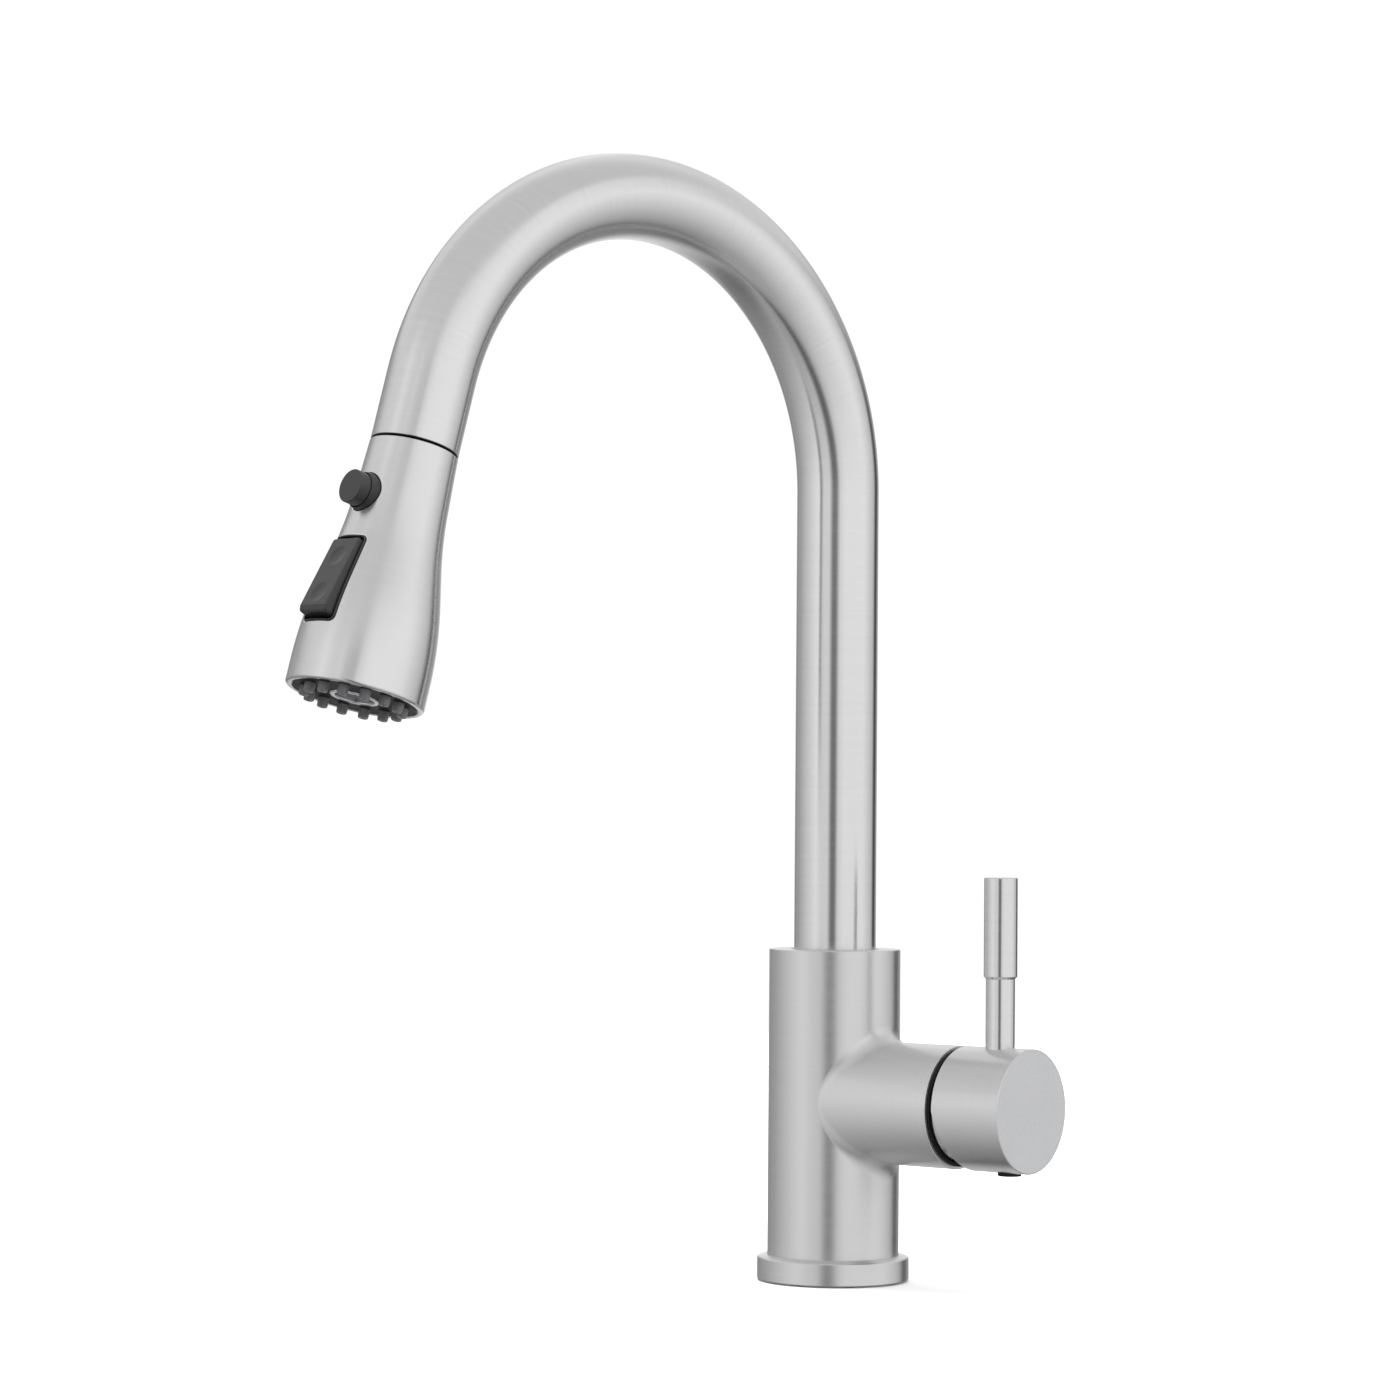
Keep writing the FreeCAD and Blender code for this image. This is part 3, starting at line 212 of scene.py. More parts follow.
# %% A profile with its edges broken
def profile(corners, closed=False, steps=6):
    """Corners are (radius, along, rounding). Straight runs joined by arcs, with outward directions.
    The arc at a corner starts at rounding times the tangent of half the turn before it."""
    spots = np.array([c[:2] for c in corners], float)
    places, facings = [], []
    count = len(corners)
    for k in range(count):
        here, before, after = spots[k], spots[k - 1], spots[(k + 1) % count]
        if not closed and k in (0, count - 1):
            way = (after - here) if k == 0 else (here - before)
            way = way / np.linalg.norm(way)
            places.append(here[None])
            facings.append(np.array([[way[1], -way[0]]]))
            continue
        way_in = (here - before) / np.linalg.norm(here - before)
        way_out = (after - here) / np.linalg.norm(after - here)
        turn = math.atan2(way_in[0] * way_out[1] - way_in[1] * way_out[0], way_in @ way_out)
        size = corners[k][2] if len(corners[k]) > 2 else 0.15
        angles = np.linspace(0, turn, steps + 1)
        normal = np.array([way_in[1], -way_in[0]])
        swept = np.stack([normal[0] * np.cos(angles) - normal[1] * np.sin(angles),
                          normal[0] * np.sin(angles) + normal[1] * np.cos(angles)], axis=1)
        start = here - way_in * size * math.tan(abs(turn) / 2)
        side = 1.0 if turn > 0 else -1.0
        centre = start - side * normal * size
        places.append(centre + side * size * swept)
        facings.append(swept)
    return np.concatenate(places), np.concatenate(facings)


def spun(corners, place, columns=128, closed=False, steps=6):
    """The profile's radius goes round the axis: (radius times cosine, radius times sine, along)."""
    line, facing = profile(corners, closed, steps)
    turn = np.arange(columns) * 2 * math.pi / columns
    ring = np.stack([np.cos(turn), np.sin(turn)], axis=1)
    points = np.concatenate([line[:, None, :1] * ring[None],
                             np.broadcast_to(line[:, None, 1:], (len(line), columns, 1))], 2)
    normals = np.concatenate([facing[:, None, :1] * ring[None],
                              np.broadcast_to(facing[:, None, 1:], (len(line), columns, 1))], 2)
    way = np.concatenate([[0.0], np.cumsum(np.linalg.norm(np.diff(line, axis=0), axis=1))]) * MM
    return sheet(put(points, place), turn_only(normals, place), True, closed, way)


# %% [markdown]
# ## Finishes
# Brushed stainless is a mirror covered in fine scratches that run round each piece.
# Along a scratch it still mirrors sharply; across it the light smears. The shader's
# anisotropy does that, and stretched noise draws the scratches that are big enough to
# see. Black plastic is a dull, slightly grained skin. Nothing here is a flat colour.


# %% Helpers for node materials
def wire(tree, kind, **inputs):
    """One node, with numbers typed in and links made for its inputs."""
    node = tree.nodes.new(kind)
    for key, value in inputs.items():
        numbered = key[0] == "i" and key[1:].isdigit()
        socket = node.inputs[int(key[1:]) if numbered else key.replace("_", " ")]
        if isinstance(value, bpy.types.NodeSocket):
            tree.links.new(value, socket)
        else:
            socket.default_value = value
    return node


def sums(tree, operation, first, second=0.0, third=0.0):
    node = wire(tree, "ShaderNodeMath", i0=first, i1=second, i2=third)
    node.operation = operation
    return node.outputs[0]


def new_finish(name, **settings):
    """A material with one main shader and its plain numbers typed straight in."""
    material = bpy.data.materials.new(name)
    material.use_nodes = True
    shader = material.node_tree.nodes["Principled BSDF"]
    for key, value in settings.items():
        shader.inputs[key.replace("_", " ")].default_value = value
    return material, material.node_tree, shader


def ramp(tree, factor, low, high, start=0.0, end=1.0):
    """Two greys blended between start and end of the factor."""
    node = tree.nodes.new("ShaderNodeMapRange")
    tree.links.new(factor, node.inputs["Value"])
    node.inputs["From Min"].default_value = start
    node.inputs["From Max"].default_value = end
    node.inputs["To Min"].default_value = low
    node.inputs["To Max"].default_value = high
    return node.outputs[0]


def tinted(tree, value, tint):
    """A grey value times a tint, as a colour."""
    node = tree.nodes.new("ShaderNodeCombineColor")
    for channel, share in enumerate(tint):
        tree.links.new(sums(tree, "MULTIPLY", value, share), node.inputs[channel])
    return node.outputs[0]


def bumped(tree, shader, height_value, strength, distance):
    node = wire(tree, "ShaderNodeBump", Height=height_value, Strength=strength, Distance=distance)
    tree.links.new(node.outputs[0], shader.inputs["Normal"])


# %% Brushed steel
def brushed_steel(name, pale=0.78, dull=0.26, line=0.00022, streak=2.2, grain=0.035, one_way=0.9):
    """Noise read on a cylinder: the turn becomes cosine and sine, so that the scratches have no seam.
    Round the piece it changes slowly; along the piece it changes every scratch."""
    material, tree, shader = new_finish(name, Metallic=1.0, Anisotropic=one_way, Anisotropic_Rotation=0.25)
    turning = tree.nodes.new("ShaderNodeUVMap")
    turning.uv_map = "turning"
    split = wire(tree, "ShaderNodeSeparateXYZ", Vector=turning.outputs[0])
    turn = sums(tree, "MULTIPLY", split.outputs[0], 2 * math.pi)
    where = wire(tree, "ShaderNodeCombineXYZ", X=sums(tree, "MULTIPLY", sums(tree, "COSINE", turn), streak),
                 Y=sums(tree, "MULTIPLY", sums(tree, "SINE", turn), streak),
                 Z=sums(tree, "DIVIDE", split.outputs[1], line)).outputs[0]
    scratches = wire(tree, "ShaderNodeTexNoise", Vector=where, Scale=1.0, Detail=3.0,
                     Roughness=0.6).outputs[0]
    broad = wire(tree, "ShaderNodeTexNoise", Vector=where, Scale=0.13, Detail=2.0).outputs[0]
    mixed = sums(tree, "ADD", sums(tree, "MULTIPLY", scratches, 0.6), sums(tree, "MULTIPLY", broad, 0.4))
    grey = ramp(tree, mixed, pale * (1 - grain), pale * (1 + grain), 0.3, 0.7)
    tree.links.new(tinted(tree, grey, (1.0, 1.0, 1.0)), shader.inputs["Base Color"])
    tree.links.new(ramp(tree, mixed, dull * 0.88, dull * 1.12, 0.3, 0.7), shader.inputs["Roughness"])
    tangent = tree.nodes.new("ShaderNodeTangent")
    tangent.direction_type = "UV_MAP"
    tangent.uv_map = "turning"
    tree.links.new(tangent.outputs[0], shader.inputs["Tangent"])
    bumped(tree, shader, scratches, 0.1, 0.00001)
    return material


tube_steel = brushed_steel("tube_steel", dull=0.2)
body_steel = brushed_steel("body_steel", dull=0.36, one_way=0.78, grain=0.03)
head_steel = brushed_steel("head_steel", dull=0.22, one_way=0.9, grain=0.025)
hub_steel = brushed_steel("hub_steel", dull=0.33)
print("steel finishes made")


# %% Plain metal, plastic, rubber and ceramic
def cast_finish(name, tint, metallic, dull, grain, scale, depth, spread=0.06, **more):
    """A finish with no direction: noise on object coordinates moves its shade, gloss and height a little."""
    material, tree, shader = new_finish(name, Metallic=metallic, **more)
    place = tree.nodes.new("ShaderNodeTexCoord").outputs["Object"]
    fine = wire(tree, "ShaderNodeTexNoise", Vector=place, Scale=scale, Detail=4.0, Roughness=0.6).outputs[0]
    cloudy = wire(tree, "ShaderNodeTexNoise", Vector=place, Scale=scale / 25, Detail=2.0).outputs[0]
    shade = sums(tree, "ADD", ramp(tree, fine, 1 - grain, 1 + grain, 0.3, 0.7),
                 ramp(tree, cloudy, -spread, spread, 0.3, 0.7))
    tree.links.new(tinted(tree, shade, tint), shader.inputs["Base Color"])
    tree.links.new(ramp(tree, cloudy, dull * 0.85, dull * 1.15, 0.3, 0.7), shader.inputs["Roughness"])
    bumped(tree, shader, fine, 0.25, depth)
    return material


finishes = {
    "brushed_steel": cast_finish("satin_steel", (0.72, 0.725, 0.73), 1.0, 0.34, 0.03, 1800, 0.00001),
    "bright_steel": cast_finish("bright_steel", (0.70, 0.71, 0.72), 1.0, 0.2, 0.03, 1500, 0.000005),
    "brass": cast_finish("machined_brass", (0.75, 0.56, 0.27), 1.0, 0.28, 0.05, 1500, 0.00001),
    "black_plastic": cast_finish("black_plastic", (0.022, 0.022, 0.023), 0.0, 0.42, 0.08, 2500, 0.00002),
    "white_plastic": cast_finish("white_plastic", (0.78, 0.78, 0.75), 0.0, 0.4, 0.02, 1500, 0.00001, 0.02),
    "ceramic": cast_finish("lapped_ceramic", (0.86, 0.84, 0.79), 0.0, 0.16, 0.02, 900, 0.000002, 0.02),
    "rubber": cast_finish("black_rubber", (0.02, 0.02, 0.02), 0.0, 0.6, 0.1, 2000, 0.00003),
    "nozzle_silicone": cast_finish("nozzle_silicone", (0.17, 0.17, 0.175), 0.0, 0.34, 0.06, 1500, 0.00001,
                                   0.08),
}
lip_steel = cast_finish("polished_lip", (0.93, 0.93, 0.93), 1.0, 0.12, 0.02, 1200, 0.000002, 0.02)
# Near black with weak gloss: painted shade for the gaps at the handle's trim ring, the head's docking seam and
# the set-screw plug. On the faceplate it is the plate's own black plus painted shade between the nozzles.
gap_shade_black = cast_finish("gap_shade_black", (0.006, 0.006, 0.006), 0.0, 0.5, 0.1, 2200, 0.00001, 0.05,
                         Specular_IOR_Level=0.2)
# Dark grey metal for the aerator screen and insert: a fine metal mesh whose colour also carries painted shade
# from the dark inside, seen through its holes.
screen_with_painted_shade = cast_finish("screen_with_painted_shade", (0.16, 0.16, 0.165), 1.0, 0.4, 0.5, 3500, 0.0001, 0.05)
cap_black = cast_finish("button_cap_black", (0.028, 0.028, 0.029), 0.0, 0.36, 0.06, 3000, 0.00001)
rocker_black = cast_finish("rocker_charcoal", (0.028, 0.028, 0.029), 0.0, 0.33, 0.06, 3000, 0.000012)
print("cast finishes:", len(finishes) + 5)

# %% [markdown]
# The hose is a rubber tube in a tight nylon braid. Two sets of threads wind round it in opposite ways. The
# pattern is read from the object's own coordinates, turned so that Z lies along the spray head.


# %% Braided hose
def braid_finish(name):
    """Two waves of turn plus and minus length, whose peaks are the crossing threads. The colour follows them:
    the weave's pattern, painted darker in the hollows between the threads as shade.
    """
    material, tree, shader = new_finish(name, Metallic=0.0, Roughness=0.5, Sheen_Weight=0.15)
    place = tree.nodes.new("ShaderNodeTexCoord").outputs["Object"]
    axes = []
    for axis, shift in ((head[1][0], True), (head[1][1], True), (head[1][2], False)):
        dot = wire(tree, "ShaderNodeVectorMath", i0=place, i1=tuple(axis))
        dot.operation = "DOT_PRODUCT"
        axes.append(sums(tree, "SUBTRACT", dot.outputs["Value"],
                         float(axis @ head[0]) * MM if shift else 0.0))
    turn = sums(tree, "MULTIPLY", sums(tree, "ARCTAN2", axes[1], axes[0]), 12.0)
    length = sums(tree, "MULTIPLY", axes[2], 2 * math.pi / 0.0016)
    one = sums(tree, "SINE", sums(tree, "ADD", turn, length))
    two = sums(tree, "SINE", sums(tree, "SUBTRACT", turn, length))
    crossing = sums(tree, "MAXIMUM", one, two)
    # The weave's pattern with painted shade: colour falls from the thread crossings down into the hollows
    # between them.
    grey = ramp(tree, crossing, 0.02, 0.16, -0.6, 1.0)
    tree.links.new(tinted(tree, grey, (1.0, 1.0, 1.04)), shader.inputs["Base Color"])
    bumped(tree, shader, crossing, 0.6, 0.0002)
    return material


finishes["hose_braid"] = braid_finish("nylon_braid")

# %% Give every node of the frame its finish
slots = {part["node"]: part["material_slot"] for part in frame["record"]["subparts"]}
for node, obj in frame["nodes"].items():
    obj.data.materials.clear()
    # The trim ring, docking insert, set-screw plug and faceplate take the near black that paints the shade in
    # their gaps.
    dark = node in ("handle_trim_ring", "docking_insert", "set_screw_plug", "spray_faceplate")
    # The aerator parts take dark grey metal: the mesh plus painted shade from behind it.
    mesh = node in ("aerator_screen", "aerator_insert")
    obj.data.materials.append(gap_shade_black if dark else screen_with_painted_shade if mesh else finishes[slots[node]])
print("finished", len(slots), "nodes")

# %% [markdown]
# ## The body
# The body is a tube with a shorter tube welded into its side, ground so smooth that
# the joint is a soft hollow. A ball rolled along the joint, touching both tubes,
# sweeps exactly that hollow. Its centre stays where the two tubes, each made larger by
# the ball's radius, cross. This gives a true round blend where a bevel would bunch up.

# %% Body shell
BODY_R, ARM_R, WELD_R, ARM_END = 24.0, 22.05, 6.0, 55.8
tube_wall = spun([(24.0, 3.0, 0.3), (24.0, 120.0, 0.45), (16.0, 120.0, 0.3), (16.0, 117.5, 0.2),
                  (22.0, 117.5, 0.2), (22.0, 3.0, 0.2)], deck, 192, closed=True)


def rolled_weld(columns=192, steps=20):
    """Ball centre: (R+f) and (A+f) tubes' crossing. Hollow: centre plus f times the way from the arm's
    touch point round to the body's touch point."""
    turn = np.arange(columns) * 2 * math.pi / columns
    up, out = (ARM_R + WELD_R) * np.cos(turn), (ARM_R + WELD_R) * np.sin(turn)
    forth = np.sqrt((BODY_R + WELD_R) ** 2 - out ** 2)
    centre = np.stack([-up, out, forth], axis=1)
    to_arm = np.stack([np.cos(turn), -np.sin(turn), 0 * turn], axis=1)
    to_body = -np.stack([0 * turn, out, forth], axis=1) / (BODY_R + WELD_R)
    between = np.arccos(np.clip((to_arm * to_body).sum(axis=1), -1, 1))[None, :, None]
    share = np.linspace(1, 0, steps + 1)[:, None, None]
    way = (np.sin((1 - share) * between) * to_arm + np.sin(share * between) * to_body) / np.sin(between)
    return centre[None] + WELD_R * way, -way, forth


weld_points, weld_facing, weld_reach = rolled_weld()
weld = sheet(put(weld_points, arm), turn_only(weld_facing, arm))
arm_line, arm_facing = profile([(ARM_R, 34.0), (ARM_R, ARM_END, 0.35), (20.0, ARM_END, 0.3), (20.0, 26.0)])
turn = np.arange(192) * 2 * math.pi / 192
along_arm = np.repeat(arm_line[:, 1:2], 192, axis=1)
along_arm[0] = weld_reach
arm_points = np.stack([-arm_line[:, :1] * np.cos(turn), arm_line[:, :1] * np.sin(turn), along_arm], axis=2)
arm_normals = np.stack([-arm_facing[:, :1] * np.cos(turn), arm_facing[:, :1] * np.sin(turn),
                        np.repeat(arm_facing[:, 1:2], 192, axis=1)], axis=2)
arm_wall = sheet(put(arm_points, arm), turn_only(arm_normals, arm))
weld["along"] = weld["along"] - weld["along"][-1] + 0.01
arm_wall["along"] = arm_wall["along"] + 0.01
piece("body_skin", [tube_wall, weld, arm_wall], "faucet_body", body_steel, "body_shell")

# %% Base flange
flange = spun([(27.75, 0.0, 0.4), (27.75, 7.75, 0.3), (27.3, 8.15, 0.3), (24.6, 8.8, 0.2), (24.06, 8.8, 0.1),
               (24.06, 3.0, 0.1), (17.5, 3.0, 0.1), (17.5, 0.0, 0.1)], deck, 192, closed=True)
piece("flange_skin", [flange], "faucet_body", body_steel, "base_flange")

# %% [markdown]
# ## The spout
# One tube runs straight up, bends through most of a half circle, and runs straight
# again. The same lathe profile is carried along that line: a profile's "along" becomes
# the length travelled, and at each length the ring stands square to the line.


# %% Spout tube
def spout_line(length):
    """Centre, way ahead and way outward at each length: straight, arc with angle = length / radius, straight."""
    bend_start = ARCH_START - 92.0
    bend = ARCH_RADIUS * (math.pi - LEAN)
    angle = np.clip((length - bend_start) / ARCH_RADIUS, 0.0, math.pi - LEAN)[:, None]
    rise = np.minimum(length, bend_start)[:, None]
    rest = np.maximum(length - bend_start - bend, 0.0)[:, None]
    ahead = np.sin(angle) * forward + np.cos(angle) * upward
    outward = np.sin(angle) * upward - np.cos(angle) * forward
    round_arch = (1 - np.cos(angle)) * forward + np.sin(angle) * upward
    centre = (92.0 + rise) * upward + ARCH_RADIUS * round_arch + rest * ahead
    return centre, ahead, outward


def carried(line, facing, columns=96, closed=False):
    """Ring point = centre + radius times (cosine sideways + sine outward)."""
    centre, ahead, outward = spout_line(line[:, 1])
    turn = np.arange(columns) * 2 * math.pi / columns
    spoke = -np.cos(turn)[None, :, None] * sideways + np.sin(turn)[None, :, None] * outward[:, None]
    points = (centre[:, None] + line[:, None, :1] * spoke) * MM
    normals = facing[:, None, :1] * spoke + facing[:, None, 1:] * ahead[:, None]
    return sheet(points, normals, True, closed, line[:, 1] * MM)


def filled_runs(line, facing, longest):
    """Extra rows on straight runs of the profile, none further apart than longest."""
    pieces, ways = [line[:1]], [facing[:1]]
    for k in range(1, len(line)):
        count = max(1, int(np.ceil(np.abs(line[k] - line[k - 1]).max() / longest)))
        share = np.linspace(0, 1, count + 1)[1:, None]
        pieces.append(line[k - 1] + share * (line[k] - line[k - 1]))
        ways.append(facing[k - 1] + share * (facing[k] - facing[k - 1]))
    return np.concatenate(pieces), np.concatenate(ways)


spout_length = ARCH_START - 92.0 + ARCH_RADIUS * (math.pi - LEAN) + TAIL
line, facing = profile([(15.0, 0.0, 0.2), (15.0, spout_length, 0.3), (13.6, spout_length, 0.25),
                        (13.6, 0.0, 0.2)], closed=True)
line, facing = filled_runs(line, facing, 3.0)
piece("spout_skin", [carried(line, facing, 112, closed=True)], "spout", tube_steel, "spout_tube")

# %% [markdown]
# ## The spray head
# The shell swells from a neck to a skirt in one slow S. A button and a rocker come
# through it. Where a hole goes, the grid's columns are squeezed aside, so its edge is
# a clean line of the grid, with a small polished lip turned in round it.


# %% Head shell's outline and its holes
def shell_radius(along):
    """Piecewise cubic with a stated slope at each knot: h00 r0 + h10 d m0 + h01 r1 + h11 d m1."""
    knots = np.array([0.9, 20.0, 40.0, 51.0, 78.0, 86.2])
    radii = np.array([15.1, 16.0, 18.45, 20.65, 23.4, 23.4])
    slopes = np.array([0.03, 0.05, 0.197, 0.2, 0.004, 0.0])
    k = np.clip(np.searchsorted(knots, along, side="right") - 1, 0, 4)
    width = knots[k + 1] - knots[k]
    t = np.clip((along - knots[k]) / width, 0, 1)
    return ((2 * t ** 3 - 3 * t ** 2 + 1) * radii[k] + (t ** 3 - 2 * t ** 2 + t) * width * slopes[k]
            + (3 * t ** 2 - 2 * t ** 3) * radii[k + 1] + (t ** 3 - t ** 2) * width * slopes[k + 1])


def shell_facing(along, turn):
    """Outward direction of a turned surface: the radius' slope tips it along the axis."""
    slope = (shell_radius(along + 0.05) - shell_radius(along - 0.05)) / 0.1
    size = np.sqrt(1 + slope ** 2)
    return np.stack([np.sin(turn) / size, np.cos(turn) / size, -slope / size + 0 * turn], axis=-1)


def on_shell(along, turn, stand=0.0):
    """Point of the shell at a length and a turn from the button side, standing off by stand."""
    radius = shell_radius(along)
    base = np.stack([radius * np.sin(turn), radius * np.cos(turn), along + 0 * turn], axis=-1)
    return base + stand * shell_facing(along, turn)


BUTTON_AT, BUTTON_HOLE = 21.0, 6.75
WINDOW = {"half": 7.97, "top": 36.8, "bottom": 67.9, "corner": 2.0}
LIP = 0.42


def window_half(along, grow):
    """Half width of the rocker's rounded window at each length: full, less what its corner arcs take."""
    radius = WINDOW["corner"] + grow
    inside = np.minimum(along - (WINDOW["top"] - grow), (WINDOW["bottom"] + grow) - along)
    short = np.clip(radius - inside, 0, radius)
    return WINDOW["half"] + grow - radius + np.sqrt(np.maximum(radius ** 2 - short ** 2, 0))


def band(along, half, columns=160):
    """Rows of the shell whose columns start at the hole's edge: near columns squeeze, far ones stay."""
    edge = np.arcsin(np.clip(half / shell_radius(along), 0, 1))[:, None]
    free = math.radians(50)
    plain = np.linspace(0, math.pi, columns // 2 + 1)[None]
    turn = np.where(plain < free, edge + plain / free * (free - edge), plain)
    turn = np.concatenate([turn, 2 * math.pi - turn[:, -2::-1]], axis=1)
    along = along[:, None] + 0 * turn
    return sheet(put(on_shell(along, turn), head), turn_only(shell_facing(along, turn), head), False, False,
                 along[:, 0] * MM)


def eased(low, high, count):
    """Lengths from low to high, crowded at both ends: (1 - cosine) / 2."""
    return low + (high - low) * (1 - np.cos(np.linspace(0, math.pi, count))) / 2


hole = BUTTON_HOLE + LIP
button_rows = eased(BUTTON_AT - hole, BUTTON_AT + hole, 41)
window_rows = np.unique(np.concatenate([
    eased(WINDOW["top"] - LIP, WINDOW["top"] + 2.2, 15),
    np.linspace(WINDOW["top"] + 2.2, WINDOW["bottom"] - 2.2, 24),
    eased(WINDOW["bottom"] - 2.2, WINDOW["bottom"] + LIP, 15)]))
shell_bands = [
    band(np.linspace(1.4, BUTTON_AT - hole, 14), np.zeros(14)),
    band(button_rows, np.sqrt(np.maximum(hole ** 2 - (button_rows - BUTTON_AT) ** 2, 0))),
    band(np.linspace(BUTTON_AT + hole, WINDOW["top"] - LIP, 10), np.zeros(10)),
    band(window_rows, window_half(window_rows, LIP)),
    band(np.linspace(WINDOW["bottom"] + LIP, 85.2, 18), np.zeros(18)),
]


# %% Lips round the holes, neck and skirt edges
def window_outline(grow, count=26):
    """Rounded rectangle in (across, along): four straight sides joined by quarter circles."""
    radius = WINDOW["corner"] + grow
    across = WINDOW["half"] + grow - radius
    top = WINDOW["top"] - grow + radius
    bottom = WINDOW["bottom"] + grow - radius
    quarter = np.linspace(0, math.pi / 2, 9)
    arcs = [np.stack([sx + radius * np.cos(quarter + k * math.pi / 2),
                      sy + radius * np.sin(quarter + k * math.pi / 2)], 1)
            for k,
            (sx, sy) in enumerate([(across, bottom), (-across, bottom), (-across, top), (across, top)])]
    joined = []
    for k, arc in enumerate(arcs):
        after = arcs[(k + 1) % 4][0]
        run = np.linspace(0, 1, count)[1:-1, None]
        joined += [arc, arc[-1] + run * (after - arc[-1])]
    return np.concatenate(joined)


def outline_on_shell(outline, stand):
    """Each (across, along) point dropped on the shell, then moved outward by stand."""
    turn = np.arcsin(np.clip(outline[:, 0] / shell_radius(outline[:, 1]), -1, 1))
    return on_shell(outline[:, 1], turn) + stand * np.array([0.0, 1.0, 0.0])


def lip(outline_of, depth):
    """Quarter circle turned in: grow falls from LIP to 0 while the edge sinks by LIP, then a short wall."""
    angle = np.linspace(0, math.pi / 2, 6)
    grows = np.append(LIP * (1 - np.sin(angle)), 0.0)
    sinks = np.append(-LIP * (1 - np.cos(angle)), -depth)
    rows = np.stack([outline_on_shell(outline_of(g), s) for g, s in zip(grows, sinks)])
    return sheet(put(rows[:, ::-1], head))


def button_outline(grow, count=96):
    turn = np.arange(count) * 2 * math.pi / count
    return np.stack([(BUTTON_HOLE + grow) * np.cos(turn), BUTTON_AT + (BUTTON_HOLE + grow) * np.sin(turn)],
                    axis=1)


neck = spun([(13.3, 9.0), (13.3, 0.9, 0.2), (15.1, 0.9, 0.3), (15.115, 1.4)], head, 160)
skirt = spun([(23.4, 85.2), (23.4, 87.38, 1.0), (21.3, 87.38, 0.3), (21.3, 86.6, 0.1), (21.0, 86.6, 0.1),
              (21.0, 80.0)],
             head, 160, steps=10)
piece("head_skin", shell_bands + [neck, skirt], "spray_head", head_steel, "head_shell")
piece("hole_lips", [lip(button_outline, 1.6), lip(window_outline, 1.6)], "spray_head", lip_steel)

# %% [markdown]
# ## Rocker and its frame
# The rocker picks stream or spray. It is a moulded cap with two shallow thumb dishes,
# and it tips inside a black frame that stands a hair proud of the shell. Both are made
# of the same rounded outline, drawn again and again, a little smaller each time.


# %% Rocker frame
def frame_rows():
    """Outlines on the shell, each with its own growth and height; the last two drop into the well."""
    steps = [(-0.03, -1.4), (-0.03, 0.08), (-0.07, 0.2), (-0.17, 0.29), (-0.3, 0.32), (-0.42, 0.29),
             (-0.52, 0.2), (-0.56, 0.05)]
    rows = [outline_on_shell(window_outline(grow), stand) for grow, stand in steps]
    drop = np.array([0.0, math.cos(ROCKER_LEAN), -math.sin(ROCKER_LEAN)])
    rows += [rows[-1] - 1.0 * drop, rows[-1] - 6.5 * drop]
    return np.stack(rows)


piece("rocker_surround", [sheet(put(frame_rows()[:, ::-1], head))], "spray_head", finishes["black_plastic"],
      "rocker_frame")


# %% Rocker cap
def oblong(half_width, half_length, corner, count=30):
    """Rounded oblong in (across, along), always with the same number of points, so that rows match."""
    corner = max(min(corner, half_width, half_length), 1e-6)
    wide, long = half_width - corner, half_length - corner
    quarter = np.linspace(0, math.pi / 2, 8)
    arcs = [np.stack([sx * wide + corner * np.cos(quarter + k * math.pi / 2),
                      sz * long + corner * np.sin(quarter + k * math.pi / 2)], 1)
            for k, (sx, sz) in enumerate([(1, 1), (-1, 1), (-1, -1), (1, -1)])]
    joined = []
    for k, arc in enumerate(arcs):
        after = arcs[(k + 1) % 4][0]
        run = np.linspace(0, 1, (count if k % 2 == 0 else 2 * count) + 1)[1:-1, None]
        joined += [arc, arc[-1] + run * (after - arc[-1])]
    return np.concatenate(joined)


def rocker_height(across, along):
    """Two dishes of a 14 mm ball, half a millimetre deep, less a bevel on the last 2 mm of the lower end."""
    height = 0 * across
    for place in (-7.2, 7.2):
        away = np.sqrt(across ** 2 + (along - place) ** 2)
        dish = np.sqrt(np.maximum(14.0 ** 2 - away ** 2, 0)) - 13.5
        height = height - 0.5 * (dish + np.sqrt(dish ** 2 + 0.0004))
    return height - np.maximum(along - 12.2, 0) * 0.42


def rocker_cap():
    """Rows: up the side wall, over a 0.6 mm edge, in across the face; then the same plainly underneath."""
    half, long, edge = 7.0, 14.15, 0.6
    angle = np.linspace(0, math.pi / 2, 7)
    insets = np.concatenate([[half, 0.4, 0.0], edge * (1 - np.cos(angle)), np.linspace(edge, half, 34)[1:]])
    sinks = np.concatenate([[-5.2, -5.2, -4.8], edge * (np.sin(angle) - 1), np.zeros(33)])
    rows = []
    for inset, sink in zip(insets, sinks):
        line = oblong(half - inset, long - inset, 1.0 - min(inset, 1.0))
        top = rocker_height(line[:, 0], line[:, 1]) if sink > -4 else 0 * line[:, 0]
        rows.append(np.stack([line[:, 0], sink + top, line[:, 1]], axis=1))
    return np.stack(rows)[:, ::-1]


cap = sheet(put(rocker_cap(), rocker_spot))
flat = np.linalg.norm(cap["normals"], axis=2) < 0.5
cap["normals"][flat] = rocker_up
cap["normals"][0] = -rocker_up
cap["normals"][-1] = rocker_up
piece("rocker_cap", [cap], "rocker", rocker_black, "rocker_switch")

# %% [markdown]
# ## Pause button
# A round cap on a plunger, with a crisp edge round its face. It
# slides in a collar that stays on the head, so it rides on a body of its own.

